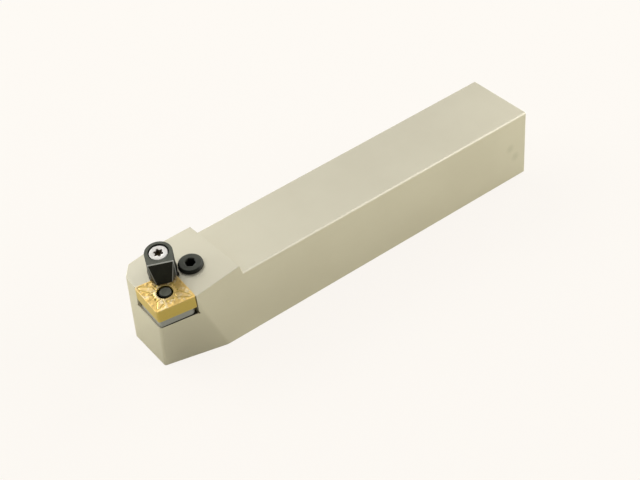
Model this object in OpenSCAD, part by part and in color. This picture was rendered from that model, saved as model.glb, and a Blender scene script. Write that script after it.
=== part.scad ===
// Turning tool holder, right hand: a square steel shank whose raised head holds a double-sided
// diamond insert on its blunt corner. A lever under the insert pulls it into the pocket when the
// lever screw is tightened, and a finger clamp with its own screw presses on its top.
// Millimetres. X runs along the shank from its rear end, Y across it, Z up from its base.

/* [Shank] */
// Overall length, from the rear end to the cutting point
overall_l = 150; // [110:1:200]
// Width of the shank
shank_w = 25; // [24.5:0.5:30]
// Height of the shank, which is also the height of the cutting point
shank_h = 25; // [23:0.5:32]
// Bevel along the long edges
edge_bevel = 0.4; // [0.2:0.1:1]

/* [Head] */
// Distance of the cutting point from the shank's far side
tip_f = 22; // [21.5:0.1:22.5]
// Length of the raised head, from the cutting point back to the top of its step
head_l = 29; // [28:0.5:40]
// Height of the head's flat top above the shank
head_rise = 3.75; // [3:0.25:6]
// Depth of the head's sloping top below the insert's top face
head_drop = 0.4; // [0.2:0.05:0.8]
// Lean of the step at the head's rear, from upright
step_lean = 17; // [0:1:30]
// Lean of the front face under the insert
front_clearance = 3.2; // [3:0.1:6]
// Lean of the side face under the main cutting edge
side_clearance = 6.4; // [6:0.1:8]
// Setback of the front face from the cutting point
front_setback = 0.57; // [0.4:0.01:0.7]
// Setback of the side face from the main cutting edge
side_setback = 0.36; // [0.2:0.01:0.5]
// Length of the bevel across the far front corner, from the cutting point's plane back
corner_cut = 5.6; // [4:0.2:7]

/* [Insert] */
// Circle that touches all four sides of the insert
insert_ic = 12.7; // [12.6:0.05:12.8]
// Thickness of the insert
insert_t = 4.76; // [4.5:0.02:5]
// Corner angle that does the cutting
insert_angle = 100; // [99:0.5:101]
// Radius of the insert's corners
nose_r = 0.8; // [0.4:0.1:1.2]
// Bore through the insert
insert_bore_d = 5.16; // [5.1:0.02:5.4]
// Depth of the moulded groove behind the cutting edges
breaker_depth = 0.2; // [0.1:0.05:0.3]
// Width of the land between the cutting edge and the groove
breaker_land = 0.35; // [0.2:0.05:0.5]
// Width of the groove
breaker_w = 1.4; // [1:0.1:1.7]
// Angle of the main cutting edge to the feed direction
approach = 75; // [73:0.5:77]
// Slope of the main cutting edge, lowest at the cutting point
edge_slope = 6; // [5:0.5:7]
// Slope of the insert's top, square to the main cutting edge
rake_slope = 6; // [5:0.5:7]

/* [Shim] */
// Thickness of the shim under the insert
shim_t = 3.18; // [2.8:0.02:3.5]
// Setback of the shim from the sides of the insert
shim_setback = 0.85; // [0.7:0.05:1]
// Radius of the shim's corners
shim_r = 0.8; // [0.6:0.1:1]
// Height of the undercut along the shim's lower edge
shim_undercut_h = 0.35; // [0.2:0.05:0.5]
// Depth of the undercut along the shim's lower edge
shim_undercut = 0.3; // [0.2:0.05:0.4]
// Outside diameter of the split sleeve that locates the shim
sleeve_d = 7; // [6.8:0.05:7.2]
// Wall of the split sleeve
sleeve_wall = 0.6; // [0.5:0.05:0.7]
// Length of the split sleeve
sleeve_l = 4.2; // [3.8:0.1:4.4]
// Depth of the sleeve's upper end inside the shim
sleeve_sink = 0.4; // [0.2:0.1:0.8]
// Width of the slit in the sleeve
sleeve_slit = 1.4; // [0.8:0.1:2]

/* [Pocket] */
// Clearance between the insert and the two pocket walls
wall_clear = 0.04; // [0.02:0.01:0.08]
// Radius of the groove along the foot of the pocket walls
foot_groove_r = 0.35; // [0.3:0.05:0.5]
// Radius of the relief at the pocket's inner corner
relief_r = 1.6; // [1.4:0.05:1.7]

/* [Lever] */
// Distance from the insert's bore to the lever screw
lever_reach = 12.9; // [12.8:0.05:13.2]
// Angle of the lever to the insert's diagonal
lever_angle = 20; // [19:0.5:20.5]
// Diameter of the lever's pin at its tip
lever_tip_d = 4; // [3.8:0.05:4.1]
// Diameter of the lever's pin in the sleeve
lever_pin_d = 4.6; // [4.3:0.05:4.7]
// Depth of the lever's pivot below the insert's top
pivot_depth = 12; // [11.9:0.05:12.4]
// Radius of the lever's knee
knee_r = 2.5; // [2.3:0.05:2.6]
// Width of the lever's arm and knee
arm_w = 4.2; // [4:0.1:4.4]
// Height of the lever's arm
arm_t = 2.8; // [2.4:0.1:3]
// Thickness of the tongue that reaches into the lever screw
tongue_t = 1.6; // [1.3:0.1:1.8]
// Width of the tongue
tongue_w = 3.6; // [3:0.1:4]
// Offset of the pin's tip towards the lever screw when the insert is held
tip_offset = 0.25; // [0.2:0.05:0.3]

/* [Lever screw] */
// Outside diameter of the lever screw's thread
lever_screw_d = 7.8; // [7.6:0.05:7.9]
// Height of the lever screw above the insert's top face
lever_screw_proud = 0.8; // [0.4:0.1:2]
// Bevel of the lever screw's upper edge
lever_screw_bevel = 0.5; // [0.3:0.1:0.8]
// Diameter of the screw's neck, where the tongue reaches in
neck_d = 4.6; // [4.2:0.1:4.8]
// Diameter of the collar below the neck
collar_d = 6.6; // [6:0.1:6.8]
// Thickness of the collar below the neck
collar_t = 1.8; // [1.4:0.1:2.2]
// Width across flats of the screw's sockets
socket_af = 3; // [2.5:0.1:3.2]
// Depth of the upper socket
socket_depth = 3.5; // [2.5:0.1:4]
// Depth of the lower socket
low_socket_depth = 2.5; // [2:0.1:3]
// Diameter of the access bore below the screw
access_d = 5.6; // [4.5:0.1:6]

/* [Clamp] */
// Place of the clamp screw behind the pocket's inner corner, along the insert's diagonal
clamp_behind = 1; // [1:0.05:1.3]
// Place of the clamp screw beside the diagonal, away from the lever screw
clamp_side = 3.9; // [3.9:0.05:4.2]
// Turn of the clamp from the insert's diagonal
clamp_turn = 25; // [24:0.5:26]
// Height of the clamp's top above the insert's top face
clamp_h = 7; // [6.5:0.1:8]
// Radius of the clamp's round back
clamp_r = 4.4; // [4.2:0.05:4.5]
// Width of the clamp's front edge
clamp_front_w = 8; // [7.4:0.1:8.2]
// Distance from the clamp screw to the clamp's top front edge
clamp_front = 4.6; // [4.2:0.1:5]
// Distance from the clamp screw to the clamp's tip
clamp_reach = 6.8; // [6.6:0.1:6.9]
// Width of the clamp's tip
clamp_tip_w = 4.9; // [4.2:0.1:5.2]
// Depth of the clamp's foot below the insert's top face
clamp_foot = 2.3; // [2:0.1:2.6]
// Length of the clamp's pad on the insert
pad_l = 1.1; // [0.8:0.1:1.2]

/* [Clamp screw] */
// Outside diameter of the clamp screw's thread
clamp_screw_d = 3.9; // [3.7:0.05:3.95]
// Length of the clamp screw
clamp_screw_l = 16; // [14:0.5:18]
// Diameter of the screw's countersunk head
screw_head_d = 5.8; // [5.4:0.1:6]
// Diameter of the countersink's mouth in the clamp
sink_d = 6.5; // [6.3:0.1:6.7]
// Depth of the screw's head below the clamp's top
sink_depth = 0.35; // [0.2:0.05:0.5]
// Width of the six-lobe recess over its lobes
lobe_d = 3.3; // [3:0.1:3.4]
// Depth of the six-lobe recess
lobe_depth = 1.6; // [1.2:0.1:1.8]
// Turn of the recess from the clamp's direction
lobe_turn = 10; // [0:5:55]

/* [Clamp spring] */
// Wire diameter of the lift spring
wire_d = 0.4; // [0.35:0.05:0.45]
// Mean diameter of the lift spring's coil
coil_d = 4.85; // [4.8:0.05:4.9]
// Turns of the lift spring
coil_turns = 4; // [3:0.5:4.5]

/* [Hidden] */
$fn = 48;

// Clearances between fitted pieces, and room to cut past a face
press_clear = 0.02;
run_clear = 0.08;
fit_clear = 0.05;
free_clear = 0.3;
past = 5;
reach_out = 40;

// Colours
steel = [0.80, 0.78, 0.72];
gold = [0.85, 0.71, 0.38];
grey = [0.48, 0.49, 0.47];
black = [0.16, 0.16, 0.15];
silver = [0.86, 0.85, 0.83];

// Cutting point, and the roll that gives the rake slope once the edge slopes
tip = [overall_l, tip_f - shank_w / 2, shank_h];
seat_roll = atan(tan(rake_slope) * cos(edge_slope));
edge_turn = 90 + approach;

// Insert outline: side length, the corners' distance from the middle, and the directions in which
// the two cutting edges leave the cutting corner
insert_side = insert_ic / sin(insert_angle);
half_short = insert_side * cos(insert_angle / 2);
along_main = [-cos(insert_angle / 2), sin(insert_angle / 2)];
along_minor = [-cos(insert_angle / 2), -sin(insert_angle / 2)];
plateau_r = nose_r / 2;
seat_depth = insert_t + shim_t;

// Turns of the front face, which follows the minor cutting edge in plan, and of the side face
minor_x = cos(insert_angle) * cos(edge_slope) - sin(insert_angle) * sin(edge_slope) * sin(seat_roll);
minor_y = sin(insert_angle) * cos(seat_roll);
front_turn = atan2(minor_y, minor_x) + edge_turn - 270;
side_turn = edge_turn - 90;

// Head
head_top = shank_h + head_rise;
step_x = overall_l - head_l;

// Relief at the pocket's inner corner, along the rear wall and inside it
relief_along = 1.2;
relief_in = 0.35;

// Lever: its tilt when it holds the insert, and the room that it turns in
tip_low = 0.1;
tip_bevel = 0.3;
pin_step = insert_t + 0.9;
tip_arm = pivot_depth - tip_low;
lever_tilt = asin(tip_offset / tip_arm);
screw_bore_d = lever_screw_d + 2 * run_clear;
arm_end = lever_reach - screw_bore_d / 2 - free_clear;
tongue_end = lever_reach - neck_d / 2 - free_clear;
tongue_drop = tongue_end * tan(lever_tilt);
groove_top = pivot_depth - tongue_t / 2 - tongue_drop - free_clear;
groove_low = pivot_depth + tongue_t / 2 + tongue_drop + free_clear;
screw_low = groove_low + collar_t;
collar_bevel = 0.3;
knee_clear = 0.35;
cavity_r = sleeve_d / 2 + press_clear;
cavity_depth = pivot_depth + knee_r + knee_clear;
slot_w = arm_w + 3 * free_clear;
slot_top = pivot_depth - arm_t / 2 - tongue_drop - free_clear;
slot_low = pivot_depth + arm_t / 2 + tongue_drop + free_clear;

// Clamp, its screw and its spring
clamp_back = half_short + clamp_behind;
clamp_hole_d = clamp_screw_d + 0.5;
clamp_thread_d = clamp_screw_d + 2 * run_clear;
front_lean = atan((clamp_reach - clamp_front) / clamp_h);
screw_top = clamp_h - sink_depth;
head_rim = (sink_d - screw_head_d) / 2 - 0.07;
recess_depth = clamp_foot + free_clear;
recess_gap = 0.2;
pad_lift = 0.05;
arch_h = 0.35;
thread_room = 1.4;
screw_bevel = 0.4;
lobe_r = 0.38;
spring_room_d = coil_d + wire_d + 0.3;
spring_room_top = 0.3;
spring_l = recess_depth + spring_room_top - 2 * fit_clear;
coil_rings = 20;
wire_sides = 8;

// The insert's frame: origin in the middle of its top face, X to the cutting corner, Z square to it
module on_insert() {
    translate(tip)
    rotate([seat_roll, -edge_slope, edge_turn])
    translate([insert_side / 2 * (1 + cos(insert_angle)), insert_side / 2 * sin(insert_angle), 0])
    rotate([0, 0, 180 + insert_angle / 2])
        children();
}

// The lever's frame: as the insert's, with X towards the lever screw
module on_lever() {
    on_insert() rotate([0, 0, 180 - lever_angle]) children();
}

// The clamp's frame: as the insert's, with its origin on the clamp screw and X to the clamp's tip
module on_clamp() {
    on_insert() translate([-clamp_back, -clamp_side, 0]) rotate([0, 0, clamp_turn]) children();
}

// A point of the seat, by its distances along the main and the minor edge from the cutting corner
function seat_point(main, minor) = [half_short, 0] + main * along_main + minor * along_minor;

// The insert's outline drawn inside it by a gap, with corners of radius r
module insert_outline(gap, r) {
    low = gap / sin(insert_angle);
    high = insert_side - low;
    blunt = r / tan(insert_angle / 2);
    sharp = r * tan(insert_angle / 2);
    middle = (gap + r) / sin(insert_angle);
    polygon([seat_point(low + blunt, low), seat_point(high - sharp, low), seat_point(high, low + sharp),
             seat_point(high, high - blunt), seat_point(high - blunt, high), seat_point(low + sharp, high),
             seat_point(low, high - sharp), seat_point(low, low + blunt)]);
    for (main = [middle, insert_side - middle], minor = [middle, insert_side - middle])
        translate(seat_point(main, minor)) circle(r);
}

// Pocket space in plan: everything in front of the two walls, which stand back from the insert
module pocket_outline(back) {
    wall = insert_side + back / sin(insert_angle);
    polygon([seat_point(wall, wall), seat_point(wall, -reach_out), seat_point(-reach_out, -reach_out),
             seat_point(-reach_out, wall)]);
}

// Plan of the clamp's block, grown by a gap: a round back that runs into a flat front
module clamp_plan(gap) {
    half = clamp_front_w / 2 + gap;
    circle(clamp_r + gap);
    polygon([[0, -clamp_r - gap], [clamp_front, -half], [clamp_front, half], [0, clamp_r + gap]]);
}

// A bar along X with bevelled long edges
module bar(length, height) {
    half = shank_w / 2;
    rotate([90, 0, 90]) linear_extrude(length)
        polygon([[edge_bevel - half, 0], [half - edge_bevel, 0], [half, edge_bevel],
                 [half, height - edge_bevel], [half - edge_bevel, height], [edge_bevel - half, height],
                 [-half, height - edge_bevel], [-half, edge_bevel]]);
}

// Everything beyond a face that leans out towards its top, set back from the cutting point
module beyond_face(turn, lean, setback) {
    translate(tip) rotate([0, 0, turn]) translate([-setback, 0, 0]) rotate([0, lean, 0])
        translate([0, -reach_out, -2 * reach_out]) cube([reach_out, 2 * reach_out, 3 * reach_out]);
}

module holder_body() {
    color(steel) difference() {
        union() {
            bar(overall_l + past, shank_h);
            head_block();
        }
        beyond_face(front_turn, front_clearance, front_setback);
        beyond_face(side_turn, side_clearance, side_setback);
        far_corner();
        pocket();
        lever_cavity();
        clamp_seat();
    }
}

// The raised head, cut by its leaning step and by its sloping top
module head_block() {
    difference() {
        translate([step_x - past, 0, 0]) bar(head_l + 2 * past, head_top);
        translate([step_x, 0, head_top]) rotate([0, 90 + step_lean, 0])
            translate([-past, -reach_out, -2 * reach_out]) cube(2 * reach_out);
        on_insert() translate([-reach_out, -reach_out, -head_drop])
            cube([2 * reach_out, 2 * reach_out, reach_out]);
    }
}

module far_corner() {
    translate([overall_l - corner_cut, -shank_w / 2, -past]) rotate([0, 0, 45])
        translate([-reach_out, -reach_out, 0]) cube([2 * reach_out, reach_out, 2 * reach_out]);
}

module pocket() {
    on_insert() {
        translate([0, 0, -seat_depth]) {
            linear_extrude(reach_out) pocket_outline(wall_clear);
            translate(seat_point(insert_side - relief_in, insert_side - relief_along))
                cylinder(h = reach_out, r = relief_r);
            translate(seat_point(insert_side, insert_side))
                for (way = [along_main, along_minor])
                    rotate([0, 0, atan2(-way[1], -way[0])]) rotate([0, 90, 0])
                        translate([0, 0, -foot_groove_r]) cylinder(h = reach_out, r = foot_groove_r);
        }
    }
}

module lever_cavity() {
    on_lever() {
        translate([0, 0, -cavity_depth]) cylinder(h = cavity_depth, r = cavity_r);
        translate([0, -slot_w / 2, -slot_low]) cube([lever_reach, slot_w, slot_low - slot_top]);
        translate([lever_reach, 0, -screw_low - free_clear]) cylinder(h = reach_out, d = screw_bore_d);
        translate([lever_reach, 0, -reach_out]) cylinder(h = reach_out, d = access_d);
    }
}

module clamp_seat() {
    on_clamp() {
        translate([0, 0, -recess_depth]) linear_extrude(reach_out) clamp_plan(recess_gap);
        translate([0, 0, screw_top - clamp_screw_l - thread_room])
            cylinder(h = reach_out, d = clamp_thread_d);
    }
}

module insert() {
    color(gold) on_insert() difference() {
        translate([0, 0, -insert_t]) linear_extrude(insert_t) insert_outline(0, nose_r);
        translate([0, 0, -insert_t - past]) cylinder(h = insert_t + 2 * past, d = insert_bore_d);
        for (low = [-breaker_depth, -insert_t])
            translate([0, 0, low]) linear_extrude(breaker_depth) difference() {
                insert_outline(breaker_land, plateau_r);
                insert_outline(breaker_land + breaker_w, plateau_r);
            }
    }
}

module shim() {
    color(grey) on_insert() translate([0, 0, -seat_depth]) difference() {
        union() {
            linear_extrude(shim_t) insert_outline(shim_setback + shim_undercut, shim_r);
            translate([0, 0, shim_undercut_h])
                linear_extrude(shim_t - shim_undercut_h) insert_outline(shim_setback, shim_r);
        }
        translate([0, 0, -past]) cylinder(h = shim_t + 2 * past, r = cavity_r);
    }
}

// The slit faces away from the lever screw
module shim_sleeve() {
    color(grey) on_lever() translate([0, 0, -insert_t - sleeve_sink - sleeve_l]) difference() {
        cylinder(h = sleeve_l, d = sleeve_d);
        translate([0, 0, -past]) cylinder(h = sleeve_l + 2 * past, d = sleeve_d - 2 * sleeve_wall);
        translate([-sleeve_d, -sleeve_slit / 2, -past]) cube([sleeve_d, sleeve_slit, sleeve_l + 2 * past]);
    }
}

// Drawn upright on its pivot, then tilted to where it holds the insert
module lever() {
    tip_r = lever_tip_d / 2;
    step_z = pivot_depth - pin_step;
    color(black) on_lever() difference() {
        translate([0, 0, -pivot_depth]) rotate([0, lever_tilt, 0]) {
            rotate_extrude() polygon([[0, 0], [lever_pin_d / 2, 0], [lever_pin_d / 2, step_z],
                [tip_r, step_z + (lever_pin_d / 2 - tip_r)], [tip_r, tip_arm - tip_bevel],
                [tip_r - tip_bevel, tip_arm], [0, tip_arm]]);
            rotate([90, 0, 0]) cylinder(h = arm_w, r = knee_r, center = true);
            translate([0, -arm_w / 2, -arm_t / 2]) cube([arm_end, arm_w, arm_t]);
            translate([0, -tongue_w / 2, -tongue_t / 2]) cube([tongue_end + neck_d / 4, tongue_w, tongue_t]);
        }
        translate([lever_reach, 0, -reach_out]) cylinder(h = reach_out, r = lever_reach - tongue_end);
    }
}

module lever_screw() {
    r = lever_screw_d / 2;
    color(black) on_lever() translate([lever_reach, 0, 0]) difference() {
        rotate_extrude() polygon([[0, -screw_low], [collar_d / 2 - collar_bevel, -screw_low],
            [collar_d / 2, collar_bevel - screw_low], [collar_d / 2, -groove_low], [neck_d / 2, -groove_low],
            [neck_d / 2, -groove_top], [r - collar_bevel, -groove_top], [r, collar_bevel - groove_top],
            [r, lever_screw_proud - lever_screw_bevel], [r - lever_screw_bevel, lever_screw_proud],
            [0, lever_screw_proud]]);
        translate([0, 0, lever_screw_proud - socket_depth]) hex_socket(socket_depth + past);
        translate([0, 0, -screw_low - past]) hex_socket(low_socket_depth + past);
    }
}

module hex_socket(depth) {
    cylinder(h = depth, d = socket_af / cos(30), $fn = 6);
}

module clamp() {
    color(black) on_clamp() difference() {
        union() {
            translate([0, 0, -clamp_foot]) linear_extrude(clamp_h + clamp_foot) clamp_plan(0);
            linear_extrude(clamp_h) polygon([[0, -clamp_front_w / 2], [clamp_front, -clamp_front_w / 2],
                [clamp_reach, -clamp_tip_w / 2], [clamp_reach, clamp_tip_w / 2],
                [clamp_front, clamp_front_w / 2], [0, clamp_front_w / 2]]);
        }
        translate([clamp_front, 0, clamp_h]) rotate([0, -front_lean, 0])
            translate([0, -reach_out, -2 * reach_out]) cube([reach_out, 2 * reach_out, 3 * reach_out]);
        off_insert();
        translate([0, 0, -reach_out]) cylinder(h = 2 * reach_out, d = clamp_hole_d);
        translate([0, 0, -clamp_foot - past])
            cylinder(h = clamp_foot + past + spring_room_top, d = spring_room_d);
        translate([0, 0, screw_top]) cylinder(h = past, d = sink_d);
        translate([0, 0, screw_top - (sink_d - clamp_hole_d) / 2])
            cylinder(h = (sink_d - clamp_hole_d) / 2, d1 = clamp_hole_d, d2 = sink_d);
    }
}

// Keeps the clamp clear of the insert, apart from the pad at its tip
module off_insert() {
    in_clamp_frame() translate([0, 0, -reach_out]) linear_extrude(reach_out + pad_lift)
        pocket_outline(free_clear);
    intersection() {
        in_clamp_frame() translate([0, 0, -reach_out]) linear_extrude(reach_out + arch_h)
            pocket_outline(free_clear);
        translate([-reach_out, -reach_out, -reach_out])
            cube([reach_out + clamp_reach - pad_l, 2 * reach_out, 2 * reach_out]);
    }
}

// The insert's frame seen from the clamp's
module in_clamp_frame() {
    rotate([0, 0, -clamp_turn]) translate([clamp_back, clamp_side, 0]) children();
}

module clamp_screw() {
    r = clamp_screw_d / 2;
    head_r = screw_head_d / 2;
    low = screw_top - clamp_screw_l;
    color(silver) on_clamp() difference() {
        rotate_extrude() polygon([[0, low], [r - screw_bevel, low], [r, low + screw_bevel],
            [r, screw_top - head_rim - (head_r - r)], [head_r, screw_top - head_rim], [head_r, screw_top],
            [0, screw_top]]);
        translate([0, 0, screw_top - lobe_depth]) linear_extrude(lobe_depth + past) six_lobes();
    }
}

module six_lobes() {
    circle(lobe_d / 2 - lobe_r);
    for (i = [0:5]) rotate(lobe_turn + 60 * i) translate([lobe_d / 2 - lobe_r, 0]) circle(lobe_r);
}

// A round wire swept along a helix, ring by ring
module clamp_spring() {
    rings = coil_turns * coil_rings;
    rise = spring_l - wire_d;
    points = [for (i = [0:rings], k = [0:wire_sides - 1])
        let (turn = 360 * i / coil_rings, side = 360 * k / wire_sides, r = (coil_d + wire_d * cos(side)) / 2)
        [r * cos(turn), r * sin(turn), wire_d / 2 * (1 + sin(side)) + rise * i / rings]];
    sides = [for (i = [0:rings - 1], k = [0:wire_sides - 1])
        let (a = i * wire_sides + k, b = i * wire_sides + (k + 1) % wire_sides)
        [a, b, b + wire_sides, a + wire_sides]];
    first = [for (k = [wire_sides - 1:-1:0]) k];
    last = [for (k = [0:wire_sides - 1]) rings * wire_sides + k];
    color(silver) on_clamp() translate([0, 0, fit_clear - recess_depth])
        polyhedron(points, concat(sides, [first, last]), convexity = 6);
}

holder_body();
insert();
shim();
shim_sleeve();
lever();
lever_screw();
clamp();
clamp_screw();
clamp_spring();
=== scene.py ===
"""Looks of a right-hand turning tool holder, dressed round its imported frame.

The holder's body, the clamp, the lever and the shim's sleeve are copies of their CAD solids with
rounded edges. The insert, the shim, the two screws and the spring are surfaces worked out with
numpy. Blender's units are metres. Sizes and points below are millimetres, in the CAD's frame unless
a docstring says otherwise: X along the shank from its rear end, Y across it, Z up from its base.
"""

from __future__ import annotations

import logging
import math
from abc import ABC, abstractmethod
from collections.abc import Callable
from dataclasses import dataclass
from enum import Enum

import bmesh
import bpy
import numpy as np
from mathutils import Matrix

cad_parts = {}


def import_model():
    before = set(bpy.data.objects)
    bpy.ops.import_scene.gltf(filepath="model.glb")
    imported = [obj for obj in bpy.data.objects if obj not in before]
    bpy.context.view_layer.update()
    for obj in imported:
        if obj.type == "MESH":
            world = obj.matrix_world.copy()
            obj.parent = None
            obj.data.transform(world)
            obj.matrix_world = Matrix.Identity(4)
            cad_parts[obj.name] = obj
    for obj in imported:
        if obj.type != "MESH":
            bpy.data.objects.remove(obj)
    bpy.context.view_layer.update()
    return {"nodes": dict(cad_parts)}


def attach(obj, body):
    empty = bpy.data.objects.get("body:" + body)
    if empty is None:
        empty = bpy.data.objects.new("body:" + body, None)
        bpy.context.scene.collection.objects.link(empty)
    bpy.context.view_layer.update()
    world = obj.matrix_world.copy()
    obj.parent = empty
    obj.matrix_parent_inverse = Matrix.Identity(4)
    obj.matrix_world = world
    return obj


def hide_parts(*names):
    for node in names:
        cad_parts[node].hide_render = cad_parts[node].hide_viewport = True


LOG = logging.getLogger("tool_holder")
MM = 0.001
FULL_TURN = 2 * math.pi
# Points closer than this, in metres, are one point.
WELD = 2e-6
# Faces that lean by less than this, in degrees, are one flat face.
FLAT = 0.6
# Only edges that fold by more than this, in degrees, are rounded.
FOLD = 10.0
# How much a rounding's faces count beside flat ones in a corner's normal.
ROUNDING_SHARE = 1e-4
# How near an edge has to be to a stated line, and a coordinate to a stated plane, in millimetres.
REACH = 0.05
NEAR = 0.02
# A face looks up where its normal's part along Z is more than this.
UPWARD = 0.9
# The most of a side that the arc at one of its corners may take.
ARC_SHARE = 0.49
# Lengths under this, in millimetres, count as nothing.
TINY = 1e-9

INT = np.int32
Array = np.ndarray
Object = bpy.types.Object
Mesh = bpy.types.Mesh
Items = bpy.types.bpy_prop_collection
Material = bpy.types.Material
Tree = bpy.types.NodeTree
Node = bpy.types.Node
Socket = bpy.types.NodeSocket
Value = Socket | float
Point = tuple[float, float, float]
Colour = tuple[float, float, float, float]
Setting = Socket | float | Point | Colour
Dome = tuple[float, float, float, float]


class Body(Enum):
    """The bodies that move apart, as the frame names them."""

    HOLDER = "holder"
    LEVER_SCREW = "lever_screw"
    LEVER = "lever"
    CLAMP = "clamp"
    CLAMP_SCREW = "clamp_screw"


class Slot(Enum):
    """The material slots."""

    STEEL = "steel"
    COAT = "insert_coat"
    SHIM = "shim_grey"
    BLACK = "black_steel"
    SILVER = "screw_silver"
    SPRING = "spring_steel"


class Mark(Enum):
    """What a mesh attribute tells: worn edges, faces of a rounding, and painted tone: the insert's painted
    highlights and shade, painted shade on the pocket floor and in a screw's recess, and a lighter grey on
    faces that look up.
    """

    EDGE = "edge"
    ROUND = "rounding"
    # This mark carries painted highlight and shade; its attribute keeps the name relief.
    PAINTED_TONE = "relief"


class Axis(Enum):
    """An axis, by its place in a vector."""

    X = 0
    Y = 1
    Z = 2


# Places


def turn(axis: Axis, degrees: float) -> Array:
    """The matrix of a turn about one axis.

    Args:
        axis: the axis.
        degrees: the angle, anticlockwise seen from the axis's far end.

    Returns:
        A 3 by 3 matrix: cosines and sines of the angle in the other two axes' rows.
    """
    cos, sin = math.cos(math.radians(degrees)), math.sin(math.radians(degrees))
    first, second = (axis.value + 1) % 3, (axis.value + 2) % 3
    matrix = np.eye(3)
    matrix[first, first] = matrix[second, second] = cos
    matrix[first, second], matrix[second, first] = -sin, sin
    return matrix


@dataclass(frozen=True)
class Place:
    """A frame of its own for a piece: an origin and three axes, as the columns of a matrix."""

    origin: Array
    axes: Array

    def world(self, points: Array) -> Array:
        """Points of this frame, in the CAD's frame."""
        return self.origin + points @ self.axes.T

    def local(self, points: Array) -> Array:
        """Points of the CAD's frame, in this frame."""
        return (points - self.origin) @ self.axes

    def moved(self, x: float, y: float, degrees: float) -> Place:
        """This frame shifted in its own plane by x and y, then turned about its Z."""
        origin = self.origin + self.axes @ np.array([x, y, 0.0])
        return Place(origin, self.axes @ turn(Axis.Z, degrees))


@dataclass(frozen=True)
class Seat:
    """Where the insert and its holding pieces sit, worked out from the cutting point."""

    tip: Point = (150.0, 9.5, 25.0)
    inscribed: float = 12.7
    angle: float = 100.0
    approach: float = 75.0
    edge_slope: float = 6.0
    rake_slope: float = 6.0
    lever_angle: float = 20.0
    lever_reach: float = 12.9
    clamp_behind: float = 1.0
    clamp_side: float = 3.9
    clamp_turn: float = 25.0

    @property
    def side(self) -> float:
        """Length of the insert's sides between its sharp corners."""
        return self.inscribed / math.sin(math.radians(self.angle))

    @property
    def half_short(self) -> float:
        """Distance of the cutting corner from the middle."""
        return self.side * math.cos(math.radians(self.angle / 2))

    @property
    def half_long(self) -> float:
        """Distance of the narrow corners from the middle."""
        return self.side * math.sin(math.radians(self.angle / 2))

    def insert(self) -> Place:
        """The insert's frame: origin in its top face's middle, X to the cutting corner.

        The seat is turned to the approach angle, then lowered towards the cutting point along the
        main edge, then rolled so that the slope square to that edge is the rake.

        Returns:
            The frame.
        """
        slope = math.radians(self.edge_slope)
        roll = math.degrees(math.atan(math.tan(math.radians(self.rake_slope)) * math.cos(slope)))
        lie = turn(Axis.Z, 90 + self.approach) @ turn(Axis.Y, -self.edge_slope) @ turn(Axis.X, roll)
        wide = math.radians(self.angle)
        middle = np.array([1 + math.cos(wide), math.sin(wide), 0.0]) * self.side / 2
        return Place(np.array(self.tip) + lie @ middle, lie @ turn(Axis.Z, 180 + self.angle / 2))

    def lever(self) -> Place:
        """The lever's frame: as the insert's, with X towards the lever screw."""
        return self.insert().moved(0.0, 0.0, 180.0 - self.lever_angle)

    def lever_screw(self) -> Place:
        """The lever screw's frame, on its axis at the height of the insert's top."""
        return self.lever().moved(self.lever_reach, 0.0, 0.0)

    def clamp(self) -> Place:
        """The clamp's frame: origin on its screw's axis, X to its tip."""
        behind = self.half_short + self.clamp_behind
        return self.insert().moved(-behind, -self.clamp_side, self.clamp_turn)


SEAT = Seat()
WORLD = Place(np.zeros(3), np.eye(3))


# Lines and curves


def smooth_step(value: Array, low: float, high: float) -> Array:
    """0 below low, 1 above high, and a smooth S between: three squares less two cubes."""
    share = np.clip((value - low) / (high - low), 0, 1)
    return share * share * (3 - 2 * share)


def bell(distance_squared: Array, width: float) -> Array:
    """A bell curve: e to the minus of the squared distance over the squared width."""
    return np.exp(-distance_squared / width**2)


def polar(radius: Array | float, angle: Array, height: Array | float) -> Array:
    """Points at a radius and an angle in radians about Z, at a height; the arrays are matched."""
    radius, angle, height = np.broadcast_arrays(radius, angle, height)
    return np.stack([radius * np.cos(angle), radius * np.sin(angle), height], -1)


def at_height(plan: Array, height: float) -> Array:
    """Points n by 2 raised to one height, n by 3."""
    return np.column_stack([plan, np.full(len(plan), height)])


def rounded_profile(corners: Array, radii: Array, samples: int = 4) -> tuple[Array, Array]:
    """A line through corners, each rounded by an arc that touches both of its sides.

    An arc starts at the corner less the radius over the tangent of half the corner's angle, and its
    points lie on a quadratic curve from there through the corner to the same length on the next
    side. Corners of no radius stay points.

    Args:
        corners: the corners, n by 2.
        radii: a radius for each corner.
        samples: points on each arc.

    Returns:
        The line's points, and for each 1 on an arc or 0 at a plain corner.
    """
    back = np.roll(corners, 1, 0) - corners
    ahead = np.roll(corners, -1, 0) - corners
    back[0], ahead[-1] = -ahead[0], -back[-1]
    back_length = np.maximum(np.linalg.norm(back, axis=1, keepdims=True), TINY)
    ahead_length = np.maximum(np.linalg.norm(ahead, axis=1, keepdims=True), TINY)
    back, ahead = back / back_length, ahead / ahead_length
    half = np.arccos(np.clip((back * ahead).sum(1), -0.9999, 0.9999)) / 2
    reach = (radii / np.tan(half))[:, None]
    reach = np.minimum(reach, ARC_SHARE * np.minimum(back_length, ahead_length))
    share = np.linspace(0, 1, samples)[None, :, None]
    start, end = (corners + back * reach)[:, None], (corners + ahead * reach)[:, None]
    middle = corners[:, None]
    points = start * (1 - share) ** 2 + middle * 2 * share * (1 - share) + end * share**2
    points = points.reshape(-1, 2)
    on_arc = np.repeat((radii > 0).astype(float), samples)
    keep = np.ones(len(points), bool)
    keep[1:] = np.linalg.norm(np.diff(points, axis=0), axis=1) > 1e-6
    return points[keep], on_arc[keep]


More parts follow.
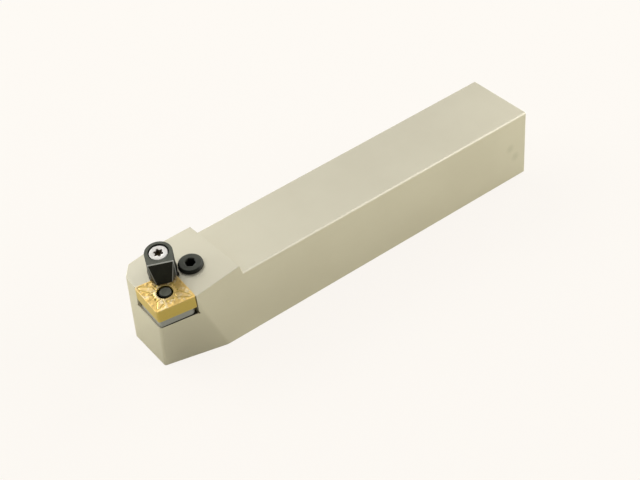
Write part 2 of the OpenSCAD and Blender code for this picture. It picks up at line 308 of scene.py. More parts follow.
def filled_rows(line: Array, on_arc: Array, step: float) -> tuple[Array, Array]:
    """The same line with points added so that none are further apart than a step.

    Args:
        line: the points, n by 2.
        on_arc: a value for each point.
        step: the longest distance wanted.

    Returns:
        The denser line, by equal shares of each stretch, and the values carried along it.
    """
    length = np.linalg.norm(np.diff(line, axis=0), axis=1)
    parts = np.maximum(np.ceil(length / step).astype(int), 1)
    index = np.repeat(np.arange(len(parts)), parts)
    share = (np.arange(len(index)) - np.repeat(np.cumsum(parts) - parts, parts)) / parts[index]
    points = line[index] * (1 - share[:, None]) + line[index + 1] * share[:, None]
    values = np.where(share > 0, np.minimum(on_arc[index], on_arc[index + 1]), on_arc[index])
    return np.vstack([points, line[-1:]]), np.append(values, on_arc[-1])


# Meshes


def put_mark(mesh: Mesh, mark: Mark, domain: str, values: Array) -> None:
    """Keeps a value for each point or face as an attribute of the mesh."""
    layer = mesh.attributes.new(mark.value, "FLOAT", domain)
    layer.data.foreach_set("value", np.ravel(values).astype(np.float32))


def read(items: Items, key: str, width: int = 1, kind: type = float) -> Array:
    """A property of all points, edges, corners or faces of a mesh.

    Args:
        items: the mesh's collection of them.
        key: the property.
        width: how many numbers it has.
        kind: the type of its numbers.

    Returns:
        One value an item, or a row of that width.
    """
    values = np.empty(len(items) * width, kind)
    items.foreach_get(key, values)
    return values.reshape(-1, width) if width > 1 else values


def linked(name: str, mesh: Mesh) -> Object:
    """A new object of that mesh, in the scene and smoothly shaded.

    Args:
        name: the object's name.
        mesh: its mesh.

    Returns:
        The object, at the origin.
    """
    piece = bpy.data.objects.new(name, mesh)
    bpy.context.scene.collection.objects.link(piece)
    mesh.polygons.foreach_set("use_smooth", np.ones(len(mesh.polygons), bool))
    return piece


def grid_quads(rows: int, columns: int, rows_close: bool) -> Array:
    """Faces between the points of a grid whose columns run round and close.

    Args:
        rows: number of rows.
        columns: number of points in a row.
        rows_close: whether the last row joins the first.

    Returns:
        Four point numbers a face: each point, its right neighbour, and the same two a row on.
    """
    row = np.arange(rows if rows_close else rows - 1)[:, None]
    column = np.arange(columns)[None, :]
    after, right = (row + 1) % rows, (column + 1) % columns
    corners = [row * columns + column, row * columns + right,
               after * columns + right, after * columns + column]
    return np.stack(corners, -1).reshape(-1, 4)


def grid_mesh(name: str, points: Array, rows_close: bool, marks: dict[Mark, Array]) -> Object:
    """A closed object from a grid of points whose columns run round.

    Points that fall together, as at a pole, are merged, and the faces are then turned outwards.

    Args:
        name: the piece's name.
        points: rows by columns by 3, in the CAD's frame.
        rows_close: whether the last row joins the first.
        marks: a value for each point, or for each row, kept as attributes of the mesh.

    Returns:
        The object, at the origin, with its place in its mesh.
    """
    rows, columns = points.shape[:2]
    quads = grid_quads(rows, columns, rows_close)
    mesh = bpy.data.meshes.new(name)
    mesh.vertices.add(rows * columns)
    mesh.vertices.foreach_set("co", (points * MM).astype(np.float32).ravel())
    mesh.loops.add(quads.size)
    mesh.loops.foreach_set("vertex_index", quads.astype(INT).ravel())
    mesh.polygons.add(len(quads))
    mesh.polygons.foreach_set("loop_start", np.arange(0, quads.size, 4, dtype=INT))
    mesh.update(calc_edges=True)
    for mark, values in marks.items():
        put_mark(mesh, mark, "POINT", np.broadcast_to(values.reshape(rows, -1), (rows, columns)))
    form = bmesh.new()
    form.from_mesh(mesh)
    bmesh.ops.remove_doubles(form, verts=form.verts, dist=WELD)
    bmesh.ops.dissolve_degenerate(form, edges=form.edges, dist=WELD / 4)
    bmesh.ops.recalc_face_normals(form, faces=form.faces)
    form.to_mesh(mesh)
    form.free()
    return linked(name, mesh)


def rounding_faces(mesh: Mesh, face: Array, point: Array, total: Array) -> Array:
    """Which faces belong to a rounding, from a mark on the faces or on all of their points.

    Args:
        mesh: the mesh, which has the mark.
        face: each corner's face.
        point: each corner's point.
        total: each face's number of corners.

    Returns:
        A value for each face that is true, or not 0, on a rounding.
    """
    layer = mesh.attributes[Mark.ROUND.value]
    rounding = read(layer.data, "value")
    if layer.domain == "FACE":
        return rounding
    return np.bincount(face, rounding[point] > 0.5, len(total)) >= total


def soften(piece: Object, crease: float = 50.0) -> None:
    """Keeps flat faces flat beside their rounded edges, and creases edges sharper than an angle.

    A corner's normal is the sum of the normals of the faces that meet there and lean from the
    corner's own face by less than the angle, each times its area. Faces of a rounding count for so
    little that they take over the flat faces' normals at their own rims.

    Args:
        piece: the object.
        crease: the angle in degrees.
    """
    mesh = piece.data
    point, total = read(mesh.loops, "vertex_index", 1, INT), read(mesh.polygons, "loop_total", 1, INT)
    area, facing = read(mesh.polygons, "area"), read(mesh.polygons, "normal", 3)
    corners, face = np.arange(len(point)), np.repeat(np.arange(len(total)), total)
    if Mark.ROUND.value in mesh.attributes:
        area = area * np.where(rounding_faces(mesh, face, point, total), ROUNDING_SHARE, 1.0)
    order = np.argsort(point, kind="stable")
    meeting = np.bincount(point, minlength=len(mesh.vertices))
    first, pairs = (np.cumsum(meeting) - meeting)[point], meeting[point]
    own = np.repeat(corners, pairs)
    step = np.arange(pairs.sum()) - np.repeat(np.cumsum(pairs) - pairs, pairs)
    other = face[order[first[own] + step]]
    near = (facing[face[own]] * facing[other]).sum(1) > math.cos(math.radians(crease))
    share = (area[other] * near)[:, None] * facing[other]
    normals = np.stack([np.bincount(own, share[:, axis], len(corners)) for axis in range(3)], 1)
    normals /= np.maximum(np.linalg.norm(normals, axis=1, keepdims=True), 1e-20)
    mesh.normals_split_custom_set(normals.tolist())


@dataclass(frozen=True)
class Chain:
    """Straight edges that follow one another and are rounded alike."""

    width: float
    points: tuple[Point, ...]

    def holds(self, ends: Array) -> Array:
        """Which edges lie on one of the chain's stretches.

        Args:
            ends: both ends of each edge, n by 2 by 3.

        Returns:
            True where both ends are nearer to the same stretch than the reach.
        """
        held = np.zeros(len(ends), bool)
        for low, high in zip(np.array(self.points[:-1]), np.array(self.points[1:])):
            way, out = high - low, ends - low
            share = np.clip(out @ way / (way @ way), 0, 1)
            held |= (np.linalg.norm(out - share[..., None] * way, axis=-1) < REACH).all(1)
        return held


@dataclass(frozen=True)
class Faces:
    """A rounded copy's faces: their middles and normals in its own frame, and 1 on a rounding."""

    middles: Array
    normals: Array
    rounding: Array


# Shader nodes


@dataclass(frozen=True)
class Bench:
    """A node tree with short ways to add and join its nodes."""

    tree: Tree

    def feed(self, socket: Socket, value: Setting) -> None:
        """Links another node's output to a socket, or sets the socket's own constant.

        Args:
            socket: the input to be fed.
            value: an output or a constant.
        """
        if isinstance(value, bpy.types.NodeSocket):
            self.tree.links.new(value, socket)
        else:
            socket.default_value = value

    def add(self, kind: str, inputs: dict[str | int, Setting] | None = None, **options: object) -> Node:
        """A new node.

        Args:
            kind: the node's type.
            inputs: sockets by name or number, each with a constant or another node's output.
            options: the node's own properties.

        Returns:
            The node.
        """
        node = self.tree.nodes.new(kind)
        for option, value in options.items():
            setattr(node, option, value)
        for socket, value in (inputs or {}).items():
            self.feed(node.inputs[socket], value)
        return node

    def math(self, operation: str, first: Value, second: Value = 0.0, clamp: bool = False) -> Socket:
        """The output of a Math node on two values."""
        inputs = {0: first, 1: second}
        return self.add("ShaderNodeMath", inputs, operation=operation, use_clamp=clamp).outputs[0]

    def total(self, base: Value | None, *terms: tuple[Value, Value]) -> Value:
        """A base value, if any, plus the products of pairs of values.

        Args:
            base: the value to start from.
            terms: the pairs, as a value and its weight.

        Returns:
            The sum.
        """
        for value, weight in terms:
            product = self.math("MULTIPLY", value, weight)
            base = product if base is None else self.math("ADD", base, product)
        return base

    def ramp(self, value: Value, low: float, high: float, start: float = 0.0,
             end: float = 1.0) -> Socket:
        """A value carried smoothly from one span to another, and held at its ends."""
        span = {"Value": value, "From Min": low, "From Max": high, "To Min": start, "To Max": end}
        return self.add("ShaderNodeMapRange", span, interpolation_type="SMOOTHSTEP").outputs[0]

    def blend(self, share: Value, first: Socket | Colour, second: Socket | Colour) -> Socket:
        """A colour between two, by the share of the second."""
        return self.add("ShaderNodeMix", {0: share, 6: first, 7: second}, data_type="RGBA").outputs[2]

    def noise(self, spot: Socket, scale: Value, detail: float, rough: float) -> Socket:
        """The output of a Noise Texture, from 0 to 1 about one half."""
        values = {"Vector": spot, "Scale": scale, "Detail": detail, "Roughness": rough}
        return self.add("ShaderNodeTexNoise", values).outputs[0]

    def part(self, vector: Socket, axis: Axis) -> Socket:
        """A vector's part along one axis."""
        return self.add("ShaderNodeSeparateXYZ", {0: vector}).outputs[axis.value]

    def distance(self, spot: Socket, centre: Point) -> Socket:
        """How far a point is from a centre."""
        return self.add("ShaderNodeVectorMath", {0: spot, 1: centre}, operation="DISTANCE").outputs["Value"]

    def marked(self, mark: Mark) -> Socket:
        """The value of a mesh attribute."""
        return self.add("ShaderNodeAttribute", attribute_name=mark.value).outputs["Fac"]

    def bump(self, height: Value, rise: float) -> Socket:
        """The normal from a height, whose full rise is given in millimetres."""
        inputs = {"Height": height, "Distance": rise * MM, "Strength": 1.0}
        return self.add("ShaderNodeBump", inputs).outputs[0]


Wiring = Callable[[Bench, Items], Socket]


@dataclass(frozen=True)
class Surface(Bench):
    """A material's tree with its Object coordinates in millimetres."""

    spot: Socket


@dataclass(frozen=True)
class Effect:
    """A shader effect that finishes share: a group made once and placed where it is wanted."""

    name: str
    output: str
    usual: dict[str, float]
    wire: Wiring

    def tree(self) -> Tree:
        """The effect's group, made on its first use.

        Returns:
            The group. Its inputs are the vector and the usual values, and it puts out one value.
        """
        if self.name in bpy.data.node_groups:
            return bpy.data.node_groups[self.name]
        tree = bpy.data.node_groups.new(self.name, "ShaderNodeTree")
        tree.interface.new_socket("Vector", in_out="INPUT", socket_type="NodeSocketVector")
        for title, value in self.usual.items():
            made = tree.interface.new_socket(title, in_out="INPUT", socket_type="NodeSocketFloat")
            made.default_value = value
        tree.interface.new_socket(self.output, in_out="OUTPUT", socket_type="NodeSocketFloat")
        bench = Bench(tree)
        result = self.wire(bench, bench.add("NodeGroupInput").outputs)
        bench.add("NodeGroupOutput", {self.output: result})
        return tree

    def on(self, surface: Surface, **values: Value) -> Socket:
        """The effect's output on a surface, at its own coordinates unless a vector is given."""
        inputs = {"Vector": surface.spot, **values}
        return surface.add("ShaderNodeGroup", inputs, node_tree=self.tree()).outputs[0]


def wire_mottle(bench: Bench, given: Items) -> Socket:
    """Soft cloudy patches: wide noise with a little finer noise on it, spread over 0 to 1."""
    return bench.ramp(bench.noise(given["Vector"], given["Scale"], 3.0, 0.55), 0.3, 0.7)


def wire_grain(bench: Bench, given: Items) -> Socket:
    """Fine even grain: two noises a factor of three apart, added for a height and a tone.

    Args:
        bench: the group's tree.
        given: the group's inputs.

    Returns:
        The grain.
    """
    fine = bench.noise(given["Vector"], given["Scale"], 2.0, 0.6)
    wide = bench.noise(given["Vector"], bench.math("MULTIPLY", given["Scale"], 0.3), 1.0, 0.5)
    return bench.total(None, (fine, 0.6), (wide, 0.4))


def wire_lay(bench: Bench, given: Items) -> Socket:
    """Lines left by grinding: noise drawn out along the vector's X, a few widths at once."""
    drawn = bench.add("ShaderNodeMapping", {"Vector": given["Vector"], "Scale": (0.02, 1.0, 1.0)})
    return bench.ramp(bench.noise(drawn.outputs[0], given["Width"], 3.0, 0.65), 0.25, 0.75)


def wire_wear(bench: Bench, given: Items) -> Socket:
    """Rubbed edges: the edge mark, broken up by noise, from 0 to 1.

    Args:
        bench: the group's tree.
        given: the group's inputs.

    Returns:
        Six times the noise above 0.8 less 0.6 of the cover, at most 1, times the edge mark.
    """
    patch = bench.noise(given["Vector"], given["Scale"], 4.0, 0.7)
    low = bench.math("SUBTRACT", 0.8, bench.math("MULTIPLY", given["Cover"], 0.6))
    raised = bench.math("MULTIPLY", bench.math("SUBTRACT", patch, low), 6.0, clamp=True)
    return bench.math("MULTIPLY", raised, given["Edge"])


def wire_specks(bench: Bench, given: Items) -> Socket:
    """Scattered small spots: the few cells of a Voronoi pattern whose own number is low.

    Args:
        bench: the group's tree.
        given: the group's inputs.

    Returns:
        1 in a chosen cell's middle, less the distance from it over the size.
    """
    cells = bench.add("ShaderNodeTexVoronoi", {"Vector": given["Vector"], "Scale": given["Scale"],
                                               "Randomness": 1.0})
    number = bench.add("ShaderNodeSeparateColor", {"Color": cells.outputs["Color"]}).outputs[0]
    near = bench.math("DIVIDE", cells.outputs["Distance"], given["Size"])
    return bench.math("MULTIPLY", bench.math("SUBTRACT", 1.0, near, clamp=True),
                      bench.math("LESS_THAN", number, given["Share"]))


MOTTLE = Effect("mottle", "Mask", {"Scale": 0.1}, wire_mottle)
GRAIN = Effect("grain", "Height", {"Scale": 8.0}, wire_grain)
LAY = Effect("lay", "Lines", {"Width": 4.0}, wire_lay)
WEAR = Effect("wear", "Mask", {"Edge": 0.0, "Scale": 1.5, "Cover": 0.6}, wire_wear)
SPECKS = Effect("specks", "Mask", {"Scale": 0.8, "Share": 0.1, "Size": 0.2}, wire_specks)


# Finishes


@dataclass(frozen=True)
class Finish(ABC):
    """A surface finish, by the name of its material and what it feeds to the shader."""

    name: str

    @abstractmethod
    def feeds(self, bench: Surface) -> dict[str, Value]:
        """What the shader's inputs get, by their names: a node's output or a constant."""

    def make(self) -> Material:
        """Makes the finish's material.

        Returns:
            The material, whose pattern follows the Object coordinates.
        """
        material = bpy.data.materials.new(self.name)
        material.use_nodes = True
        bench = Bench(material.node_tree)
        metres = bench.add("ShaderNodeTexCoord").outputs["Object"]
        scaled = bench.add("ShaderNodeMapping", {"Vector": metres, "Scale": (1 / MM, 1 / MM, 1 / MM)})
        shader = bench.tree.nodes["Principled BSDF"]
        for title, value in self.feeds(Surface(bench.tree, scaled.outputs[0])).items():
            bench.feed(shader.inputs[title], value)
        return material


@dataclass(frozen=True)
class SatinSteel(Finish):
    """Nickel-plated steel, ground and then plated to a soft, faintly yellow satin."""

    name: str = "satin_plated_steel"
    shade: Colour = (0.645, 0.602, 0.466, 1.0)
    light: Colour = (0.675, 0.634, 0.496, 1.0)
    worn: Colour = (0.63, 0.60, 0.50, 1.0)
    stain: Colour = (0.42, 0.41, 0.28, 1.0)
    # Painted shade: a near-black laid on the pocket floor.
    pocket_shade: Colour = (0.10, 0.095, 0.075, 1.0)
    smudges: tuple[Point, ...] = ((4.6, 12.5, 9.0), (7.0, 12.5, 13.4))
    smudge_reach: float = 2.4
    smudge_core: float = 0.2
    smudge_share: float = 0.3
    pocket_shade_starts: float = 8.0
    pocket_shade_full: float = 9.5
    pocket_shade_least: float = 0.3
    roughness: float = 0.46
    metal: float = 0.8

    def lines(self, bench: Surface) -> Value:
        """Grinding lines: along X on faces that look sideways or up, along Y on the end faces.

        Args:
            bench: the material's tree.

        Returns:
            The lines' height, from 0 to 1.
        """
        facing = bench.add("ShaderNodeNewGeometry").outputs["Normal"]
        endwise = bench.ramp(bench.math("ABSOLUTE", bench.part(facing, Axis.X)), 0.6, 0.8)
        turned = bench.add("ShaderNodeMapping", {"Vector": bench.spot, "Rotation": (0.0, 0.0, math.pi / 2)})
        along, across = LAY.on(bench, Width=5.0), LAY.on(bench, Vector=turned.outputs[0], Width=5.0)
        return bench.total(None, (along, bench.math("SUBTRACT", 1.0, endwise)), (across, endwise))

    def feeds(self, bench: Surface) -> dict[str, Value]:
        """Cloudy tone under fine lines, two smudges, pale worn edges and painted shade on the pocket floor.

        Args:
            bench: the material's tree.

        Returns:
            The shader's inputs.
        """
        clouds, small = MOTTLE.on(bench, Scale=0.045), MOTTLE.on(bench, Scale=0.35)
        lines, grain = self.lines(bench), GRAIN.on(bench, Scale=9.0)
        wear = WEAR.on(bench, Edge=bench.marked(Mark.EDGE), Scale=0.9, Cover=1.0)
        tone = bench.total(None, (clouds, 0.6), (small, 0.05), (lines, 0.2))
        colour = bench.blend(tone, self.shade, self.light)
        for centre in self.smudges:
            away = bench.distance(bench.spot, centre)
            stained = bench.ramp(away, self.smudge_reach, self.smudge_core, 0.0, self.smudge_share)
            colour = bench.blend(stained, colour, self.stain)
        colour = bench.blend(bench.math("MULTIPLY", wear, 0.8), colour, self.worn)
        # Painted shade on the pocket floor: full beyond 9.5 mm towards +Y, and 0.3 of it nearer the middle.
        across = bench.part(bench.spot, Axis.Y)
        beside = bench.ramp(across, self.pocket_shade_starts, self.pocket_shade_full, self.pocket_shade_least, 1.0)
        pocket_shading = bench.math("MULTIPLY", bench.marked(Mark.PAINTED_TONE), beside)
        colour = bench.blend(pocket_shading, colour, self.pocket_shade)
        return {"Base Color": colour, "Metallic": self.metal,
                "Roughness": bench.total(self.roughness, (small, 0.01), (wear, 0.2)),
                "Normal": bench.bump(bench.total(None, (lines, 0.5), (grain, 0.5)), 0.003)}


@dataclass(frozen=True)
class GoldCoat(Finish):
    """Gold nitride coat on pressed carbide, with a painted highlight on its high spots, warm painted shade
    in its hollows, and its top painted paler than its flanks.
    """

    name: str = "gold_coat"
    # Painted light: the first colour is painted shade in creases and dimples; the third, the top's, is
    # painted paler than the second, the flank's, as if lit from above; the last is a painted highlight.
    hollow_shade: Colour = (0.36, 0.19, 0.035, 1.0)
    side: Colour = (0.65, 0.49, 0.135, 1.0)
    ground: Colour = (0.85, 0.585, 0.195, 1.0)
    high: Colour = (1.0, 0.84, 0.53, 1.0)
    roughness: float = 0.42

    def feeds(self, bench: Surface) -> dict[str, Value]:
        """Colour by the painted-tone mark, from painted shade at 0 in the grooves to painted highlight at 1
        on raised forms, with pale flecks.

        Args:
            bench: the material's tree.

        Returns:
            The shader's inputs.
        """
        relief = bench.marked(Mark.PAINTED_TONE)
        clouds, flecks = MOTTLE.on(bench, Scale=0.5), MOTTLE.on(bench, Scale=0.62)
        wear = WEAR.on(bench, Edge=bench.marked(Mark.EDGE), Scale=2.0, Cover=0.8)
        colour = bench.blend(bench.ramp(relief, 0.0, 0.4), self.hollow_shade, self.side)
        colour = bench.blend(bench.ramp(relief, 0.42, 0.72), colour, self.ground)
        # Painted highlight: pale flecks and raised forms on the top.
        raised = bench.math("ADD", bench.ramp(flecks, 0.45, 1.0, 0.0, 0.75),
                            bench.ramp(relief, 0.75, 1.0, 0.0, 0.2))
        raised = bench.math("MULTIPLY", raised, bench.ramp(relief, 0.45, 0.7))
        colour = bench.blend(raised, colour, self.high)
        colour = bench.blend(bench.math("MULTIPLY", wear, 0.1), colour, self.high)
        return {"Base Color": colour, "Metallic": 1.0,
                "Roughness": bench.total(self.roughness, (clouds, 0.08)),
                "Normal": bench.bump(GRAIN.on(bench, Scale=14.0), 0.008)}


@dataclass(frozen=True)
class GroundCarbide(Finish):
    """Bare grey carbide with the lines of its grinding, lighter at its edges."""

    name: str = "ground_carbide"
    shade: Colour = (0.32, 0.325, 0.30, 1.0)
    light: Colour = (0.37, 0.375, 0.35, 1.0)
    worn: Colour = (0.45, 0.45, 0.43, 1.0)
    roughness: float = 0.4

    def feeds(self, bench: Surface) -> dict[str, Value]:
        """A grey that follows fine lines and clouds, half way to the worn colour at worn edges.

        Args:
            bench: the material's tree.

        Returns:
            The shader's inputs.
        """
        lines, clouds = LAY.on(bench, Width=9.0), MOTTLE.on(bench, Scale=0.6)
        wear = WEAR.on(bench, Edge=bench.marked(Mark.EDGE), Scale=2.0, Cover=0.8)
        colour = bench.blend(bench.total(None, (lines, 0.5), (clouds, 0.5)), self.shade, self.light)
        colour = bench.blend(bench.math("MULTIPLY", wear, 0.5), colour, self.worn)
        return {"Base Color": colour, "Metallic": 1.0,
                "Roughness": bench.total(self.roughness, (clouds, 0.1)), "Normal": bench.bump(lines, 0.004)}


@dataclass(frozen=True)
class BlackOxide(Finish):
    """Blackened steel: a dark oily skin that shows steel where it is worn."""

    skin: Colour = (0.008, 0.0085, 0.0055, 1.0)
    faded: Colour = (0.016, 0.017, 0.011, 1.0)
    bare: Colour = (0.36, 0.37, 0.34, 1.0)
    # A lighter grey painted on the marked faces that look up.
    upward_grey: Colour = (0.096, 0.099, 0.078, 1.0)
    roughness: float = 0.42
    cover: float = 0.6
    gloss: float = 0.17

    def feeds(self, bench: Surface) -> dict[str, Value]:
        """Black, faded in clouds, a lighter grey painted on the marked faces that look up, with bare specks
        and bare worn edges.

        Args:
            bench: the material's tree.

        Returns:
            The shader's inputs. It is metal where it is bare.
        """
        clouds = MOTTLE.on(bench, Scale=0.45)
        wear = WEAR.on(bench, Edge=bench.marked(Mark.EDGE), Scale=1.4, Cover=self.cover)
        specks = SPECKS.on(bench, Scale=1.6, Share=0.06, Size=0.18)
        colour = bench.blend(clouds, self.skin, self.faded)
        # The marked faces that look up are painted a lighter grey, through the clouds.
        top = bench.math("MULTIPLY", bench.marked(Mark.PAINTED_TONE), bench.ramp(clouds, 0.0, 1.0, 0.8, 1.0))
        colour = bench.blend(top, colour, self.upward_grey)
        bare = bench.math("ADD", bench.math("MULTIPLY", wear, 0.75),
                          bench.math("MULTIPLY", specks, 0.15), clamp=True)
        return {"Base Color": bench.blend(bare, colour, self.bare), "Metallic": bench.ramp(bare, 0.1, 0.6),
                "Roughness": bench.total(self.roughness, (clouds, 0.12)), "Specular IOR Level": self.gloss,
                "Normal": bench.bump(GRAIN.on(bench, Scale=10.0), 0.006)}


@dataclass(frozen=True)
class BrightPlate(Finish):
    """Bright plating, turned and lightly worn."""

    shade: Colour = (0.90, 0.85, 0.78, 1.0)
    light: Colour = (0.98, 0.94, 0.88, 1.0)
    # Brown painted shade, laid in the screw's recess.
    recess_shade: Colour = (0.16, 0.12, 0.07, 1.0)
    roughness: float = 0.28

    def feeds(self, bench: Surface) -> dict[str, Value]:
        """Light metal in clouds, with brown painted shade where the mark says.

        Args:
            bench: the material's tree.

        Returns:
            The shader's inputs.
        """
        clouds = MOTTLE.on(bench, Scale=0.9)
        # Painted shade where the mark says, deepest in the screw's recess.
        painted_share = bench.math("MULTIPLY", bench.marked(Mark.PAINTED_TONE), bench.ramp(clouds, 0.0, 1.0, 0.75, 1.0))
        colour = bench.blend(painted_share, bench.blend(clouds, self.shade, self.light), self.recess_shade)
        return {"Base Color": colour, "Metallic": 1.0,
                "Roughness": bench.total(self.roughness, (painted_share, 0.3)),
                "Normal": bench.bump(GRAIN.on(bench, Scale=12.0), 0.004)}


# Camera and studio


def placed(data: bpy.types.ID, place: Array, right: Array | Point, up: Array | Point,
           back: Array) -> Object:
    """A camera or a lamp in the scene.

    Args:
        data: the camera's or the lamp's settings.
        place: its place in metres.
        right: the direction to its right.
        up: the direction up.
        back: the direction away from what it looks at.

    Returns:
        The object.
    """
    matrix = np.eye(4)
    matrix[:3] = np.column_stack([right, up, back, place])
    shown = bpy.data.objects.new(data.name, data)
    shown.matrix_world = Matrix(matrix.tolist())
    bpy.context.scene.collection.objects.link(shown)
    return shown


@dataclass(frozen=True)
class Camera:
    """The photograph's camera, by its place and the three directions of its picture."""

    place: Point = (364.7673, 368.5095, 395.4966)
    right: Point = (-0.76730562, 0.63974238, -0.04440456)
    up: Point = (-0.43646539, -0.47025498, 0.76704512)
    forward: Point = (-0.4698298, -0.60793909, -0.6400547)
    lens: float = 105.6702
    sensor: float = 36.0
    clip: tuple[float, float] = (0.01, 20.0)

    def build(self) -> None:
        """Makes the camera and gives it to the scene."""
        data = bpy.data.cameras.new("camera")
        data.lens, data.sensor_width, data.sensor_fit = self.lens, self.sensor, "HORIZONTAL"
        data.clip_start, data.clip_end = self.clip
        place, back = np.array(self.place) * MM, -np.array(self.forward)
        bpy.context.scene.camera = placed(data, place, self.right, self.up, back)


@dataclass(frozen=True)
class Lamp:
    """A soft square lamp, by its place in metres, its side in metres and its power in watts."""

    name: str
    place: Point
    size: float
    power: float
    colour: Point = (1.0, 0.99, 0.97)

    def build(self, aim: Array) -> None:
        """Makes the lamp, which looks at a point given in metres.

        Args:
            aim: the point.
        """
        data = bpy.data.lights.new(self.name, "AREA")
        data.size, data.energy, data.color = self.size, self.power, self.colour
        back = np.array(self.place) - aim
        back = back / np.linalg.norm(back)
        side = np.cross([0.0, 0.0, 1.0], back)
        side = side / np.linalg.norm(side)
        placed(data, np.array(self.place), side, np.cross(back, side), back)


@dataclass(frozen=True)
class Studio:
    """A pale floor under soft light.

    The camera sees the floor mostly as its own even white, and its diffuse light is that of lit
    paper. Reflections see a mix of the two, brighter on the tool's left and dimmer under its head.
    Lengths are in metres here.
    """

    middle: Point = (0.085, 0.0, 0.0125)
    floor_drop: float = 0.00002
    half: float = 2.0
    white: Colour = (0.973, 0.938, 0.896, 1.0)
    paper: Colour = (0.88, 0.85, 0.74, 1.0)
    warm: Colour = (0.98, 0.98, 0.83, 1.0)
    sky: Colour = (0.98, 0.99, 1.0, 1.0)
    sky_level: float = 0.35
    glow: float = 0.93
    mirrored: float = 0.5
    mirrored_level: float = 0.52
    mirrored_left: float = 0.38
    left_width: float = 0.03
    dim_spot: Point = (0.143, 0.017, 0.0)
    dim_reach: float = 0.025
    dim_share: float = 0.5
    dim_lit: float = 0.4
    lamps: tuple[Lamp, ...] = (
        Lamp("left", (0.1, -1.2, 0.7), 1.0, 9.4, (0.98, 0.99, 1.0)),
        Lamp("front", (0.9, -0.9, 0.6), 1.0, 13.4, (0.97, 0.985, 1.0)),
        Lamp("right", (-1.0, 0.7, 0.35), 0.8, 15.7),
        Lamp("rear", (-1.2, -0.2, 0.7), 0.9, 12.7),
    )

    def build(self) -> None:
        """Makes the floor, the world and the lamps, and sets the plain view transform."""
        bpy.context.scene.view_settings.view_transform = "Standard"
        self.floor()
        self.surroundings()
        for lamp in self.lamps:
            lamp.build(np.array(self.middle))

    def floor(self) -> None:
        """Makes a flat sheet of paper under the tool and keeps it out of the model."""
        ends = np.array([[-1, -1, 0], [1, -1, 0], [1, 1, 0], [-1, 1, 0]]) * self.half
        mesh = bpy.data.meshes.new("paper_floor")
        corners = ends + np.array([self.middle[0], self.middle[1], -self.floor_drop])
        mesh.from_pydata(corners.tolist(), [], [(0, 1, 2, 3)])
        mesh.materials.append(self.sheet())
        floor = bpy.data.objects.new("paper_floor", mesh)
        bpy.context.scene.collection.objects.link(floor)

    def strength(self, bench: Bench, seen: Socket, level: Value) -> Socket:
        """A light's strength: full for the camera, and a level of its own for all other rays."""
        return bench.add("ShaderNodeMapRange", {"Value": seen, "To Min": level, "To Max": 1.0}).outputs[0]

    def sheet(self) -> Material:
        """Makes the paper: lit diffuse, mixed with its own light for the camera and in reflections.

        Returns:
            The material. In reflections its light is the level, plus more towards the left, less
            the dim spot's share.
        """
        material = bpy.data.materials.new("paper")
        material.use_nodes = True
        bench = Bench(material.node_tree)
        bench.tree.nodes.clear()
        rays = bench.add("ShaderNodeLightPath").outputs
        seen = rays["Is Camera Ray"]
        bounced = bench.math("MAXIMUM", rays["Is Glossy Ray"], rays["Is Transmission Ray"])
        spot = bench.add("ShaderNodeTexCoord").outputs["Object"]
        left = bench.ramp(bench.part(spot, Axis.Y), 0.0, -self.left_width, 0.0, self.mirrored_left)
        dim = bench.ramp(bench.distance(spot, self.dim_spot), self.dim_reach, 0.0, 0.0, self.dim_share)
        level = bench.math("MULTIPLY", bench.math("ADD", left, self.mirrored_level),
                           bench.math("SUBTRACT", 1.0, dim))
        light = {"Color": bench.blend(seen, self.warm, self.white),
                 "Strength": self.strength(bench, seen, level)}
        own = bench.add("ShaderNodeEmission", light).outputs[0]
        lit = bench.add("ShaderNodeBsdfDiffuse", {"Color": self.paper}).outputs[0]
        part = bench.total(self.mirrored, (dim, self.dim_lit))
        share = bench.math("MAXIMUM", bench.math("MULTIPLY", seen, self.glow),
                           bench.math("MULTIPLY", bounced, part))
        mix = bench.add("ShaderNodeMixShader", {0: share, 1: lit, 2: own}).outputs[0]
        bench.add("ShaderNodeOutputMaterial", {"Surface": mix})
        return material

    def surroundings(self) -> None:
        """Makes even light from all round, which the camera sees as the paper's own white."""
        world = bpy.data.worlds.new("surroundings")
        bpy.context.scene.world = world
        world.use_nodes = True
        bench = Bench(world.node_tree)
        bench.tree.nodes.clear()
        seen = bench.add("ShaderNodeLightPath").outputs["Is Camera Ray"]
        light = {"Color": bench.blend(seen, self.sky, self.white),
                 "Strength": self.strength(bench, seen, self.sky_level)}
        bench.add("ShaderNodeOutputWorld", {"Surface": bench.add("ShaderNodeBackground", light).outputs[0]})


# Pieces


@dataclass
class Piece(ABC):
    """A piece of the tool: its name, the CAD node it stands for, its body, slot, finish and frame."""

    name: str
    node: str
    body: Body
    slot: Slot
    finish: Finish
    place: Place

    @abstractmethod
    def shape(self) -> Object:
        """Makes the piece's surface, in the scene and with its marks."""

    def build(self) -> Object:
        """Makes the piece, softens its normals, dresses it, and puts it on its body.

        Returns:
            The finished object.
        """
        piece = self.shape()
        soften(piece)
        piece.data.materials.clear()
        piece.data.materials.append(self.finish.make())
        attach(piece, self.body.value)
        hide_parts(self.node)
        return piece


